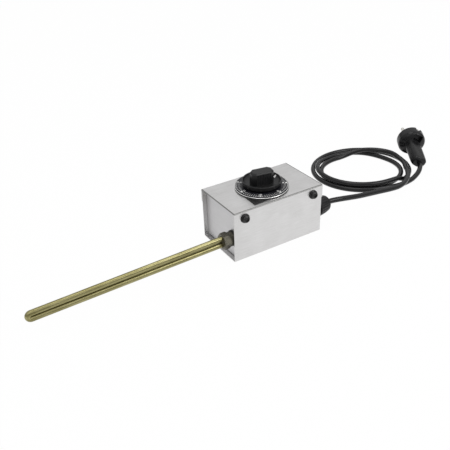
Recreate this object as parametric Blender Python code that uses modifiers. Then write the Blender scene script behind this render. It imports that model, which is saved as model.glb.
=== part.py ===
# Aquarium heater: a bare U-shaped element on a stainless thermostat box, with its mains lead and plug.
# Sizes are in millimetres and MM turns them into metres. The origin is the middle of the box's foot,
# +X points to the cord end, -Y is the front with the two screws, and +Z is up.

import math

import bmesh
import bpy
from mathutils import Matrix
from mathutils import Vector

MM = 0.001
fit_gap = 0.3
slide_gap = 0.15

# box
box_length = 120.0
box_depth = 72.0
box_height = 62.5
sheet = 1.0
bend_radius = 1.5
lid_flange = 16.0
end_recess = 5.0
end_foot = 5.0

# lid screws
lid_screw_end_distance = 13.7
lid_screw_drop = 8.9
lid_screw_radius = 2.5
lid_screw_head_radius = 4.4
lid_screw_head_height = 2.7
socket_radius = 1.7
socket_depth = 1.6
cup_washer_radius = 5.4
cup_washer_height = 1.6
rail_width = 9.0
rail_thickness = 4.0
rail_margin = 6.0

# element
element_radius = 3.1
element_front_distance = 12.0
element_height = 25.6
element_half_spacing = 3.8
element_tip_half_spacing = 3.3
element_tip_x = -288.0
element_droop = 0.0245
element_inner_length = 6.0
bead_radius = 2.6
bead_length = 3.0
pin_radius = 1.1
pin_length = 7.7

# element bush
bush_hex_radius = 9.8
bush_hex_length = 7.8
bush_collar_radius = 8.4
bush_collar_length = 5.2
bush_stem_radius = 7.8
bush_stem_length = 4.5
gasket_thickness = 1.4
gasket_radius = 9.3
retaining_ring_radius = 9.3
retaining_ring_thickness = 1.3

# dial
dial_axis = (0.0, 0.0)
spindle_radius = 3.0
spindle_sink = 10.5
spindle_cover = 6.0
index_ring_inner = 20.0
index_ring_outer = 30.0
index_thickness = 0.5
index_tip_radius = 43.8
index_tip_angle = 226.0
index_tab_spread = 92.0
index_tab_overlap = 0.5
bezel_inner = 22.0
bezel_outer = 31.2
bezel_height = 0.7
disc_radius = 30.6
disc_inner = 18.2
disc_thickness = 1.0
hub_radius = 4.7
knob_foot_radius = 20.0
rim_radius = 22.7
rim_foot_radius = 21.9
rim_lift = 1.3
rim_height = 6.6
rim_width = 1.3
dish_radius = 16.0
dish_height = 2.2
grip_length = 26.8
grip_width = 15.0
grip_corner = 4.0
grip_height = 17.4
grip_bevel = 1.5
grip_bevel_drop = 1.8
grip_corner_taper = 0.4
grip_angle = -10.0

# thermostat
frame_length = 46.0
frame_width = 30.0
frame_thickness = 1.5
thermostat_length = 40.0
thermostat_width = 34.0
thermostat_height = 21.4
thermostat_bush_radius = 5.0
thermostat_bush_rise = 1.0
thermostat_screw_distance = 14.0
thermostat_screw_radius = 1.85
thermostat_screw_depth = 5.8
pan_head_radius = 3.4
pan_head_height = 2.2
diaphragm_radius = 10.0
diaphragm_height = 5.5
blade_width = 6.3
blade_thickness = 0.8
blade_length = 8.0
blade_drop = 15.4
blade_offset = -6.0
bulb_radius = 3.0
bulb_length = 36.0
bulb_centre = (-2.0, 24.0)
bulb_height = 5.0
cradle_length = 12.0
cradle_width = 12.0
capillary_radius = 0.8

# connector block and earth
block_centre = (0.0, -20.0)
block_length = 16.0
block_width = 18.0
block_height = 12.0
barrel_offset = 3.0
barrel_radius = 2.5
wire_entry = 4.0
barrel_bore = 1.3
barrel_length = 14.0
block_screw_offset = -4.5
block_screw_radius = 1.6
earth_centre = (22.0, -5.0)
earth_stud_radius = 2.0
earth_stud_length = 8.0
earth_ring_radius = 4.0
earth_ring_thickness = 1.0
earth_barrel_radius = 1.7
earth_barrel_length = 6.0
earth_nut_radius = 4.1
earth_nut_height = 3.2
core_radius = 1.0
core_spacing = 2.1

# cord and gland
cord_radius = 3.3
floor_gap = 0.1
gland_front_distance = 12.6
gland_height = 27.0
gland_hex_radius = 10.9
gland_hex_length = 5.7
gland_stem_radius = 7.4
gland_stem_length = 8.3
gland_nose_length = 8.0
gland_nut_radius = 9.3
gland_nut_height = 3.7
seal_length = 3.0
dome_radius = 12.5
dome_length = 17.9
sheath_end_x = 42.0

# coil: three strands that lie piled on the near side and fan out on the far side
coil_centre = (206.6, 54.6)
coil_mean_radius = 59.4
coil_oval = 2.9
coil_oval_angle = -9.0
coil_tight_step = 3.85
coil_fan_step = 5.8
coil_fan_angle = 55.0
coil_fan_half_width = 150.0
coil_pile_wide = 8.8
coil_pile_narrow = 5.0
coil_strand_gap = 0.7
coil_start_turn = -0.10
coil_end_turn = 2.70
coil_points_per_turn = 24

# plug
plug_centre = (307.3, 59.0, 20.0)
plug_azimuth = 56.7
plug_elevation = 10.2
plug_roll = 30.0
plug_radius = 19.3
plug_face = 8.0
plug_back = 13.0
plug_length = 56.0
plug_grip_width = 20.0
plug_grip_thickness = 15.6
plug_grip_corner = 6.8
plug_hollow_width = 13.0
plug_hollow_wall = 0.5
plug_hollow_reach = 0.86
plug_hollow_shoulder = 0.35
plug_hollow_lead = 4.0
plug_pin_radius = 2.4
plug_pin_distance = 9.5
plug_pin_length = 19.0
plug_pin_seat = 5.5
clip_width = 8.0
clip_thickness = 1.2
clip_length = 9.0
clip_sink = 2.2

# the points that the loose cord runs through, chosen by hand; each list ends where the next piece starts
lead_route = [
    (97.6, -25.0, 26.2),
    (113.7, -25.6, 23.6),
    (130.5, -25.4, 20.6),
    (148.9, -24.4, 17.6),
    (166.4, -23.9, 15.1),
    (184.2, -23.8, 12.8),
    (199.3, -23.2, 11.4),
    (211.5, -20.2, 11.0),
    (223.7, -14.4, 10.9),
    (235.4, -5.8, 10.8),
    (246.4, 5.6, 10.5),
]
tail_route = [
    (212.0, -9.8, 3.4),
    (225.8, -10.6, 3.5),
    (240.0, -8.9, 3.9),
    (249.6, -6.2, 4.9),
    (257.8, -3.2, 6.4),
    (265.0, 0.8, 7.8),
]

# worked out from the sizes above
wall_outer = box_depth / 2 - sheet - fit_gap
wall_inner = wall_outer - sheet
lid_under = box_height - sheet
body_top = lid_under - fit_gap
floor_top = sheet
inner_floor = floor_top + fit_gap
end_face = box_length / 2 - end_recess
end_inside = end_face - sheet
element_y = element_front_distance - box_depth / 2
gland_y = gland_front_distance - box_depth / 2
lid_screw_x = box_length / 2 - lid_screw_end_distance
lid_screw_z = box_height - lid_screw_drop
screw_hole_radius = lid_screw_radius + fit_gap
gasket_face = -end_face - fit_gap
collar_back = gasket_face - gasket_thickness - fit_gap
hex_back = collar_back - bush_collar_length
hex_front = hex_back - bush_hex_length
stem_end = -end_inside + bush_stem_length
leg_end = -end_face + element_inner_length
index_base = box_height + fit_gap
bezel_base = index_base + index_thickness + fit_gap
disc_base = bezel_base + bezel_height + fit_gap
knob_base = disc_base + disc_thickness + fit_gap
dish_floor = knob_base + dish_height
rim_top = knob_base + rim_height
grip_top = knob_base + grip_height
frame_top = lid_under - fit_gap
frame_base = frame_top - frame_thickness
thermostat_top = frame_base - fit_gap
thermostat_base = thermostat_top - thermostat_height
thermostat_bush_top = box_height + thermostat_bush_rise
blade_z = thermostat_top - blade_drop
gland_hex_end = end_face + fit_gap + gland_hex_length
dome_start = gland_hex_end + fit_gap
dome_end = dome_start + dome_length
strand_step = 2 * cord_radius + coil_strand_gap
coil_rest = cord_radius + floor_gap

FACING = {
    "+z": (0.0, 0.0, 0.0),
    "-z": (math.pi, 0.0, 0.0),
    "+x": (0.0, math.pi / 2, 0.0),
    "-x": (0.0, -math.pi / 2, 0.0),
    "+y": (-math.pi / 2, 0.0, 0.0),
    "-y": (math.pi / 2, 0.0, 0.0),
}


def clear_scene():
    for item in list(bpy.data.objects):
        bpy.data.objects.remove(item, do_unlink=True)


def new_collection(name):
    collection = bpy.data.collections.new(name)
    bpy.context.scene.collection.children.link(collection)
    return collection


def new_look(name, colour, roughness, metallic):
    look = bpy.data.materials.new(name)
    look.use_nodes = True
    shader = look.node_tree.nodes["Principled BSDF"]
    shader.inputs["Base Color"].default_value = (*colour, 1.0)
    shader.inputs["Roughness"].default_value = roughness
    shader.inputs["Metallic"].default_value = metallic
    return look


clear_scene()
parts = new_collection("aquarium_heater")
cutters = new_collection("cutters")
steel = (0.62, 0.62, 0.60)
black = (0.012, 0.012, 0.014)


def scaled(point):
    return Vector(point) * MM


def add_object(name, data, look, at=(0.0, 0.0, 0.0), facing="+z", spin=0.0):
    thing = bpy.data.objects.new(name, data)
    parts.objects.link(thing)
    thing.location = scaled(at)
    thing.rotation_euler = FACING[facing]
    if spin:
        thing.rotation_euler = (Matrix.Rotation(math.radians(spin), 3, Vector((0, 0, 1)))
                                @ thing.rotation_euler.to_matrix()).to_euler()
    colour, roughness, metallic = look
    data.materials.append(new_look(name + "_look", colour, roughness, metallic))
    return thing


def mesh_from(shape, smooth=0.0):
    mesh = bpy.data.meshes.new("shape")
    shape.to_mesh(mesh)
    shape.free()
    if smooth:
        mesh.shade_smooth()
        mesh.set_sharp_from_angle(angle=math.radians(smooth))
    return mesh


def block(name, low, high, look, corner=0.0):
    size = [(b - a) * MM for a, b in zip(low, high)]
    centre = [(a + b) / 2 for a, b in zip(low, high)]
    shape = bmesh.new()
    bmesh.ops.create_cube(shape, size=1.0)
    bmesh.ops.scale(shape, vec=size, verts=shape.verts)
    thing = add_object(name, mesh_from(shape), look, centre)
    if corner:
        round_edges(thing, corner)
    return thing


def prism(name, sides, radius, low, high, look, at, facing="+z", spin=0.0):
    shape = bmesh.new()
    bmesh.ops.create_cone(
        shape, cap_ends=True, segments=sides, radius1=radius * MM, radius2=radius * MM, depth=(high - low) * MM)
    bmesh.ops.translate(shape, vec=(0, 0, (low + high) / 2 * MM), verts=shape.verts)
    bmesh.ops.rotate(
        shape, matrix=Matrix.Rotation(math.radians(spin), 3, "Z"), verts=shape.verts)
    return add_object(name, mesh_from(shape, 40 if sides > 8 else 0), look, at, facing)


def turned(name, outline, look, at=(0.0, 0.0, 0.0), facing="+z", steps=32, ring=False):
    # outline: (radius, height) pairs that run down the outer side; a ring comes back up its bore
    mesh = bpy.data.meshes.new("outline")
    points = [(radius * MM, 0.0, height * MM) for radius, height in outline]
    edges = [(i, i + 1) for i in range(len(points) - 1)]
    if ring:
        edges.append((len(points) - 1, 0))
    mesh.from_pydata(points, edges, [])
    thing = add_object(name, mesh, look, at, facing)
    screw = thing.modifiers.new("turn", "SCREW")
    screw.steps = steps
    screw.render_steps = steps
    screw.use_merge_vertices = True
    screw.merge_threshold = 0.000005
    screw.use_smooth_shade = True
    return thing


def ring(name, inner, outer, low, high, look, at=(0.0, 0.0, 0.0), facing="+z", steps=32):
    outline = [(outer, high), (outer, low), (inner, low), (inner, high)]
    return turned(name, outline, look, at, facing, steps, ring=True)


def folded_sheet(name, outline, length, look, spin=0.0):
    # outline: (y, z) pairs of the outer face, with the inside on the left of the way it runs
    shape = bmesh.new()
    corners = [shape.verts.new((-length / 2 * MM, y * MM, z * MM)) for y, z in outline]
    edges = [shape.edges.new(pair) for pair in zip(corners, corners[1:])]
    swept = bmesh.ops.extrude_edge_only(shape, edges=edges)
    moved = [item for item in swept["geom"] if isinstance(item, bmesh.types.BMVert)]
    bmesh.ops.translate(shape, vec=(length * MM, 0, 0), verts=moved)
    bmesh.ops.recalc_face_normals(shape, faces=shape.faces)
    along = corners[1].co - corners[0].co
    if edges[0].link_faces[0].normal.dot(along.cross(Vector((1, 0, 0)))) < 0:
        bmesh.ops.reverse_faces(shape, faces=shape.faces)
    thing = add_object(name, mesh_from(shape), look, spin=spin)
    round_edges(thing, bend_radius, 3)
    shell = thing.modifiers.new("thickness", "SOLIDIFY")
    shell.thickness = sheet * MM
    shell.offset = -1.0
    shell.use_even_offset = True
    return thing


def round_edges(thing, width, segments=2):
    bevel = thing.modifiers.new("round", "BEVEL")
    bevel.width = width * MM
    bevel.segments = segments
    bevel.limit_method = "ANGLE"
    bevel.angle_limit = math.radians(35)
    return bevel


def smooth_points(route, spacing):
    # points along a Catmull-Rom curve through the route
    knots = [2 * Vector(route[0]) - Vector(route[1])] + [Vector(p) for p in route]
    knots.append(2 * knots[-1] - knots[-2])
    points = []
    for a, b, c, d in zip(knots, knots[1:], knots[2:], knots[3:]):
        count = max(1, round((c - b).length / spacing))
        for i in range(count):
            t = i / count
            points.append(0.5 * (2 * b + (c - a) * t + (2 * a - 5 * b + 4 * c - d) * t ** 2
                                 + (3 * b - a - 3 * c + d) * t ** 3))
    points.append(knots[-2])
    return points


def tube(name, points, radius, look, resolution=1):
    curve = bpy.data.curves.new(name, "CURVE")
    curve.dimensions = "3D"
    curve.bevel_depth = radius * MM
    curve.bevel_resolution = resolution
    curve.use_fill_caps = True
    spline = curve.splines.new("POLY")
    spline.points.add(len(points) - 1)
    for place, point in zip(spline.points, points):
        place.co = (*scaled(point), 1.0)
    return add_object(name, curve, look)


def hide_as_cutter(tool):
    parts.objects.unlink(tool)
    cutters.objects.link(tool)
    tool.hide_render = True
    tool.display_type = "WIRE"


def combine(thing, tool, operation):
    if tool.name in parts.objects:
        hide_as_cutter(tool)
    step = thing.modifiers.new(operation.lower(), "BOOLEAN")
    step.operation = operation
    step.solver = "EXACT"
    step.object = tool


def cut(thing, tool):
    combine(thing, tool, "DIFFERENCE")


def fuse(thing, tool):
    combine(thing, tool, "UNION")


def drill(thing, radius, at, facing, depth, start=-0.5, sides=24):
    tool = prism(thing.name + "_drill", sides, radius, start, depth, (black, 0.5, 0.0), at, facing)
    cut(thing, tool)


def make_box():
    brushed = (steel, 0.32, 1.0)
    body_outline = [(-wall_outer, body_top), (-wall_outer, 0.0), (wall_outer, 0.0), (wall_outer, body_top)]
    body = folded_sheet("housing_body", body_outline, box_length, brushed)
    half = box_depth / 2
    flange_foot = box_height - lid_flange
    lid_outline = [(half, flange_foot), (half, box_height), (-half, box_height), (-half, flange_foot)]
    lid = folded_sheet("lid", lid_outline, box_length, brushed)
    for x in (-lid_screw_x, lid_screw_x):
        for thing in (body, lid):
            drill(thing, screw_hole_radius, (x, -half, lid_screw_z), "+y", box_depth + 1.0)
    spacing = thermostat_screw_distance
    drill(lid, thermostat_bush_radius + fit_gap, (*dial_axis, box_height), "-z", sheet + 1.0)
    for x in (-spacing, spacing):
        hole = (dial_axis[0] + x, dial_axis[1], box_height)
        drill(lid, thermostat_screw_radius + fit_gap, hole, "-z", sheet + 1.0, sides=16)
    block_screw = (block_centre[0], block_centre[1] + block_screw_offset, 0.0)
    drill(body, block_screw_radius + fit_gap, block_screw, "+z", sheet + 0.5, sides=16)
    return body, lid


def make_end_plates():
    # each plate stands on a short foot that is spot-welded to the floor of the box
    look = (steel, 0.25, 1.0)
    width = 2 * (wall_inner - fit_gap)
    foot = end_face - end_foot
    outline = [(foot, inner_floor), (end_face, inner_floor), (end_face, body_top)]
    element_plate = folded_sheet("element_end_plate", outline, width, look, spin=90)
    cord_plate = folded_sheet("cord_end_plate", outline, width, look, spin=-90)
    drill(element_plate, bush_stem_radius + fit_gap, (-end_face, element_y, element_height), "+x", sheet + 0.5, sides=32)
    drill(cord_plate, gland_stem_radius + fit_gap, (end_face, gland_y, gland_height), "-x", sheet + 0.5, sides=32)


def make_lid_screws():
    # button heads in cup washers, run into a tapped rail behind each wall
    half = box_depth / 2
    washer_base = half + fit_gap
    head_base = washer_base + cup_washer_height + fit_gap
    rail_face = wall_inner - fit_gap
    rail_back = rail_face - rail_thickness
    shank_end = rail_back - 0.5
    head = lid_screw_head_radius
    top = lid_screw_head_height
    outline = [(0, top), (head * 0.55, top * 0.98), (head * 0.82, top * 0.75), (head, top * 0.3), (head, 0.0)]
    corners = [("front_left", -1, -1), ("front_right", 1, -1), ("back_left", -1, 1), ("back_right", 1, 1)]
    for corner, along, side in corners:
        outwards = "-y" if side < 0 else "+y"
        at = (along * lid_screw_x, side * head_base, lid_screw_z)
        shank = [(lid_screw_radius, 0.0), (lid_screw_radius, shank_end - head_base), (0, shank_end - head_base)]
        screw = turned("lid_screw_" + corner, outline + shank, ((0.02, 0.02, 0.02), 0.35, 0.6), at, outwards, 24)
        socket = prism(screw.name + "_socket", 6, socket_radius, top - socket_depth, top + 1.0,
                       (black, 0.5, 0.0), at, outwards)
        cut(screw, socket)
        wide = cup_washer_radius
        bore = screw_hole_radius
        rise = cup_washer_height
        washer = [(bore, rise), (wide * 0.86, rise), (wide, rise * 0.45), (wide, 0.0), (bore, 0.0)]
        at = (along * lid_screw_x, side * washer_base, lid_screw_z)
        turned("cup_washer_" + corner, washer, ((0.02, 0.02, 0.02), 0.4, 0.6), at, outwards, 24, ring=True)
    half_length = lid_screw_x + rail_margin
    low = lid_screw_z - rail_width / 2
    for name, side, facing in (("front", -1, "+y"), ("back", 1, "-y")):
        near = min(side * rail_face, side * rail_back)
        far = max(side * rail_face, side * rail_back)
        rail = block("screw_rail_" + name, (-half_length, near, low), (half_length, far, low + rail_width),
                     ((0.5, 0.5, 0.5), 0.35, 1.0))
        for x in (-lid_screw_x, lid_screw_x):
            hole = (x, side * rail_face, lid_screw_z)
            drill(rail, screw_hole_radius, hole, facing, rail_thickness + 0.5, sides=16)


def leg_height(x, side):
    # height of a leg's centre line: level inside the bush, then drooping and closing towards the tip
    run = max(0.0, hex_front - x)
    share = run / (hex_front - element_tip_x)
    half = element_half_spacing + (element_tip_half_spacing - element_half_spacing) * share
    return element_height - element_droop * run + side * half


def make_element():
    bend_x = element_tip_x + element_radius + element_tip_half_spacing
    stations = [leg_end, hex_front, (hex_front + bend_x) / 2, bend_x]
    points = [(x, element_y, leg_height(x, 1)) for x in stations]
    bend_z = leg_height(bend_x, 0)
    radius = leg_height(bend_x, 1) - bend_z
    for i in range(1, 10):
        angle = math.pi / 2 + math.pi * i / 10
        points.append((bend_x + radius * math.cos(angle), element_y, bend_z + radius * math.sin(angle)))
    points += [(x, element_y, leg_height(x, -1)) for x in reversed(stations)]
    tube("heating_element", points, element_radius, ((0.36, 0.33, 0.16), 0.25, 1.0), 6)
    start = leg_end + fit_gap
    for name, side in (("upper", 1), ("lower", -1)):
        at = (start, element_y, leg_height(leg_end, side))
        bore = pin_radius + fit_gap
        ring("ceramic_bead_" + name, bore, bead_radius, 0.0, bead_length, ((0.8, 0.78, 0.72), 0.6, 0.0), at, "+x", 20)
        prism("element_pin_" + name, 16, pin_radius, 0.0, pin_length, ((0.5, 0.5, 0.48), 0.3, 1.0), at, "+x")


def make_bush():
    # one turned and milled piece with two bores; a push-on ring holds it from inside
    dark = ((0.06, 0.06, 0.055), 0.35, 0.9)
    at = (0.0, element_y, element_height)
    bush = prism("element_bush", 6, bush_hex_radius, hex_front, hex_back, dark, at, "+x")
    collar = prism("bush_collar", 32, bush_collar_radius, hex_back - 1.0, collar_back, dark, at, "+x")
    stem = prism("bush_stem", 32, bush_stem_radius, collar_back - 1.0, stem_end, dark, at, "+x")
    fuse(bush, collar)
    fuse(bush, stem)
    for side in (1, -1):
        hole = (hex_front, element_y, element_height + side * element_half_spacing)
        drill(bush, element_radius + slide_gap, hole, "+x", stem_end - hex_front + 0.5)
    bore = bush_stem_radius + fit_gap
    ring("bush_gasket", bore, gasket_radius, gasket_face - gasket_thickness, gasket_face,
         ((0.03, 0.03, 0.03), 0.7, 0.0), at, "+x")
    ring_start = -end_inside + fit_gap
    ring("bush_retaining_ring", bore, retaining_ring_radius, ring_start, ring_start + retaining_ring_thickness,
         ((0.5, 0.5, 0.5), 0.3, 1.0), at, "+x")


def make_dial_plates():
    # fixed under the dial: a black plate with its pointed tab, and a bright ring on it
    x, y = dial_axis
    black_paint = (black, 0.35, 0.0)
    plate = ring("index_plate", index_ring_inner, index_ring_outer, index_base, index_base + index_thickness,
                 black_paint, (x, y, 0.0), steps=48)
    tab = bpy.data.curves.new("index_tab", "CURVE")
    tab.dimensions = "2D"
    tab.fill_mode = "BOTH"
    tab.extrude = index_thickness / 2 * MM
    corners = []
    root = index_ring_outer - index_tab_overlap
    for radius, turn in ((root, -index_tab_spread / 2), (index_tip_radius, 0.0), (root, index_tab_spread / 2)):
        angle = math.radians(index_tip_angle + turn)
        corners.append((radius * math.cos(angle), radius * math.sin(angle), 0.0))
    spline = tab.splines.new("POLY")
    spline.points.add(len(corners) - 1)
    spline.use_cyclic_u = True
    for place, point in zip(spline.points, corners):
        place.co = (*scaled(point), 1.0)
    outline = add_object("index_tab", tab, black_paint, (x, y, index_base + index_thickness / 2))
    fuse(plate, mesh_copy(outline))
    ring("bezel_ring", bezel_inner, bezel_outer, bezel_base, bezel_base + bezel_height,
         ((0.75, 0.75, 0.73), 0.15, 1.0), (x, y, 0.0), steps=48)


def mesh_copy(curve_object):
    # a curve's mesh with welded caps, in the curve's place
    bpy.context.view_layer.update()
    graph = bpy.context.evaluated_depsgraph_get()
    mesh = bpy.data.meshes.new_from_object(curve_object.evaluated_get(graph))
    shape = bmesh.new()
    shape.from_mesh(mesh)
    bmesh.ops.remove_doubles(shape, verts=shape.verts, dist=0.00001)
    shape.to_mesh(mesh)
    shape.free()
    solid = bpy.data.objects.new(curve_object.name + "_solid", mesh)
    parts.objects.link(solid)
    solid.matrix_world = curve_object.matrix_world
    bpy.data.objects.remove(curve_object, do_unlink=True)
    return solid


def make_knob():
    # a dished knob: its rim stands clear of the scale disc, and the grip rises from the dish
    x, y = dial_axis
    plastic = (black, 0.42, 0.0)
    bore = spindle_radius + fit_gap
    hub_foot = thermostat_bush_top + fit_gap
    rim_foot = knob_base + rim_lift
    inner = rim_radius - rim_width
    slope = inner - dish_radius
    rise = rim_top - dish_floor
    outline = [
        (0, dish_floor), (dish_radius, dish_floor), (dish_radius + slope * 0.55, dish_floor + rise * 0.16),
        (dish_radius + slope * 0.88, dish_floor + rise * 0.5), (inner, rim_top - rim_width * 0.3),
        (inner + rim_width * 0.3, rim_top), (inner + rim_width * 0.7, rim_top),
        (rim_radius, rim_top - rim_width * 0.4), (rim_foot_radius, rim_foot), (rim_foot_radius - rim_width, rim_foot),
        (knob_foot_radius, knob_base), (hub_radius, knob_base), (hub_radius, hub_foot), (0, hub_foot)]
    knob = turned("dial_knob", outline, plastic, (x, y, 0.0), steps=48)
    grip = make_grip(plastic)
    fuse(knob, grip)
    spindle_top = grip_top - spindle_cover
    drill(knob, bore, (x, y, hub_foot), "+z", spindle_top + fit_gap - hub_foot)
    ring("scale_disc", disc_inner, disc_radius, disc_base, disc_base + disc_thickness,
         plastic, (x, y, 0.0), steps=64)
    prism("knob_spindle", 24, spindle_radius, thermostat_top - spindle_sink, spindle_top,
          ((0.55, 0.55, 0.53), 0.3, 1.0), (x, y, 0.0))


def make_grip(look):
    # an upright bar with its four corners cut off and its top edges bevelled
    length = grip_length / 2
    width = grip_width / 2
    rows = [(knob_base + dish_height * 0.5, 0.0), (grip_top - grip_bevel_drop, 0.0), (grip_top, grip_bevel)]
    shape = bmesh.new()
    rings = []
    for height, inset in rows:
        far = length - inset
        side = width - inset
        near = length - grip_corner - inset * grip_corner_taper
        flank = width - grip_corner - inset * grip_corner_taper
        plan = [(far, -flank), (far, flank), (near, side), (-near, side), (-far, flank), (-far, -flank),
                (-near, -side), (near, -side)]
        rings.append([shape.verts.new(scaled((a, b, height))) for a, b in plan])
    count = len(rings[0])
    for lower, upper in zip(rings, rings[1:]):
        for i in range(count):
            j = (i + 1) % count
            shape.faces.new((lower[i], lower[j], upper[j], upper[i]))
    shape.faces.new(reversed(rings[0]))
    shape.faces.new(rings[-1])
    bmesh.ops.recalc_face_normals(shape, faces=shape.faces)
    return add_object("grip", mesh_from(shape), look, (*dial_axis, 0.0), spin=grip_angle)


def make_thermostat():
    x, y = dial_axis
    tin = ((0.55, 0.55, 0.53), 0.35, 1.0)
    frame = block("thermostat_frame", (x - frame_length / 2, y - frame_width / 2, frame_base),
                  (x + frame_length / 2, y + frame_width / 2, frame_top), tin)
    drill(frame, thermostat_bush_radius + fit_gap, (x, y, frame_top), "-z", frame_thickness + 0.5)
    body = block("thermostat_body", (x - thermostat_length / 2, y - thermostat_width / 2, thermostat_base),
                 (x + thermostat_length / 2, y + thermostat_width / 2, thermostat_top), ((0.5, 0.42, 0.3), 0.5, 0.0))
    neck = prism("thermostat_neck", 32, thermostat_bush_radius, thermostat_top - 2.0, thermostat_bush_top,
                 tin, (x, y, 0.0))
    fuse(body, neck)
    well = thermostat_bush_top - thermostat_top + spindle_sink + fit_gap
    drill(body, spindle_radius + fit_gap, (x, y, thermostat_bush_top), "-z", well)
    head_base = box_height + fit_gap
    shank = head_base - (thermostat_top - thermostat_screw_depth + 2.0)
    for name, side in (("left", -1), ("right", 1)):
        at = (x + side * thermostat_screw_distance, y, head_base)
        head = pan_head_height
        outline = [(0, head), (pan_head_radius * 0.7, head), (pan_head_radius, head * 0.6), (pan_head_radius, 0.0),
                   (thermostat_screw_radius, 0.0), (thermostat_screw_radius, -shank), (0, -shank)]
        turned("thermostat_screw_" + name, outline, tin, at, steps=20)
        hole = thermostat_screw_radius + fit_gap
        drill(frame, hole, (at[0], y, frame_top), "-z", frame_thickness + 0.5, sides=16)
        drill(body, hole, (at[0], y, thermostat_top), "-z", thermostat_screw_depth - 2.0 + fit_gap, sides=16)
        face = x + side * (thermostat_length / 2 + fit_gap)
        far = face + side * blade_length
        block("thermostat_blade_" + name,
              (min(face, far), y + blade_offset - blade_width / 2, blade_z - blade_thickness / 2),
              (max(face, far), y + blade_offset + blade_width / 2, blade_z + blade_thickness / 2), tin)
    cup_top = thermostat_base - fit_gap
    cup = [(0, cup_top), (diaphragm_radius, cup_top), (diaphragm_radius, cup_top - diaphragm_height * 0.6),
           (diaphragm_radius * 0.8, cup_top - diaphragm_height), (0, cup_top - diaphragm_height)]
    turned("thermostat_diaphragm", cup, tin, (x, y, 0.0))


def make_sensor():
    copper = ((0.6, 0.33, 0.18), 0.35, 1.0)
    x, y = bulb_centre
    half = bulb_length / 2
    outline = [(0, half), (bulb_radius * 0.7, half), (bulb_radius, half - 1.0), (bulb_radius, 1.0 - half),
               (bulb_radius * 0.7, -half), (0, -half)]
    turned("sensor_bulb", outline, copper, (x, y, bulb_height), "+x", 20)
    cradle = block("bulb_cradle", (x - cradle_length / 2, y - cradle_width / 2, inner_floor),
                   (x + cradle_length / 2, y + cradle_width / 2, bulb_height), ((0.7, 0.7, 0.68), 0.5, 0.0))
    drill(cradle, bulb_radius + fit_gap, (x - cradle_length / 2, y, bulb_height), "+x", cradle_length + 0.5)
    cup_side = dial_axis[0] + diaphragm_radius + fit_gap
    cup_height = thermostat_base - fit_gap - diaphragm_height * 0.4
    bulb_end = x + half + fit_gap
    route = [(cup_side, dial_axis[1], cup_height), (cup_side + 3.0, dial_axis[1] + 1.0, cup_height - 1.0),
             (22, 10, 27), (27.5, 18, 18), (27.5, 23.2, 9), (bulb_end + 5.0, y, bulb_height + 0.3),
             (bulb_end, y, bulb_height)]
    tube("capillary_tube", smooth_points(route, 3.0), capillary_radius, copper)


def make_connector_block():
    x, y = block_centre
    ceramic = ((0.82, 0.8, 0.75), 0.5, 0.0)
    brass = ((0.7, 0.55, 0.25), 0.3, 1.0)
    top = inner_floor + block_height
    body = block("terminal_block", (x - block_length / 2, y - block_width / 2, inner_floor),
                 (x + block_length / 2, y + block_width / 2, top), ceramic)
    barrel_y = y + barrel_offset
    middle = inner_floor + block_height / 2 + 0.7
    drill(body, barrel_radius + fit_gap, (x - block_length / 2, barrel_y, middle), "+x", block_length + 0.5)
    ring("terminal_barrel", barrel_bore, barrel_radius, -barrel_length / 2, barrel_length / 2, brass,
         (x, barrel_y, middle), "+x", 20)
    screw_y = y + block_screw_offset
    drill(body, block_screw_radius + fit_gap, (x, screw_y, top), "-z", block_height + 0.5, sides=16)
    head_base = top + fit_gap
    head = 2.2
    wide = block_screw_radius * 1.9
    shank = head_base - fit_gap
    outline = [(0, head), (wide * 0.8, head), (wide, head * 0.5), (wide, 0.0),
               (block_screw_radius, 0.0), (block_screw_radius, -shank), (0, -shank)]
    turned("terminal_block_screw", outline, brass, (x, screw_y, head_base), steps=20)
    return barrel_y, middle


def make_earth_point():
    x, y = earth_centre
    tin = ((0.6, 0.6, 0.58), 0.3, 1.0)
    brass = ((0.7, 0.55, 0.25), 0.3, 1.0)
    prism("earth_stud", 20, earth_stud_radius, 0.0, earth_stud_length, tin, (x, y, inner_floor))
    ring_base = inner_floor + fit_gap
    bore = earth_stud_radius + fit_gap
    eye = ring("earth_ring", bore, earth_ring_radius, 0.0, earth_ring_thickness, tin, (x, y, ring_base), steps=24)
    barrel_z = ring_base + earth_barrel_radius * 0.9
    start = x + earth_ring_radius - 1.0
    end = x + earth_ring_radius + earth_barrel_radius + earth_barrel_length
    barrel = prism("earth_barrel", 16, earth_barrel_radius, start - x + 0.8, end - x, tin, (x, y, barrel_z), "+x")
    tongue = block("earth_tongue", (start, y - 1.4, ring_base), (end - 3.0, y + 1.4, ring_base + earth_ring_thickness),
                   tin)
    fuse(eye, barrel)
    fuse(eye, tongue)
    nut_base = ring_base + earth_ring_thickness + fit_gap
    nut = prism("earth_nut", 6, earth_nut_radius, 0.0, earth_nut_height, brass, (x, y, nut_base))
    drill(nut, bore, (x, y, nut_base), "+z", earth_nut_height + 0.5, sides=16)
    clear = prism("earth_nut_clear", 24, earth_nut_radius + fit_gap, 0.0, 6.0, tin,
                  (x, y, ring_base + earth_ring_thickness))
    cut(eye, clear)
    return end + fit_gap, y, barrel_z


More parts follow.
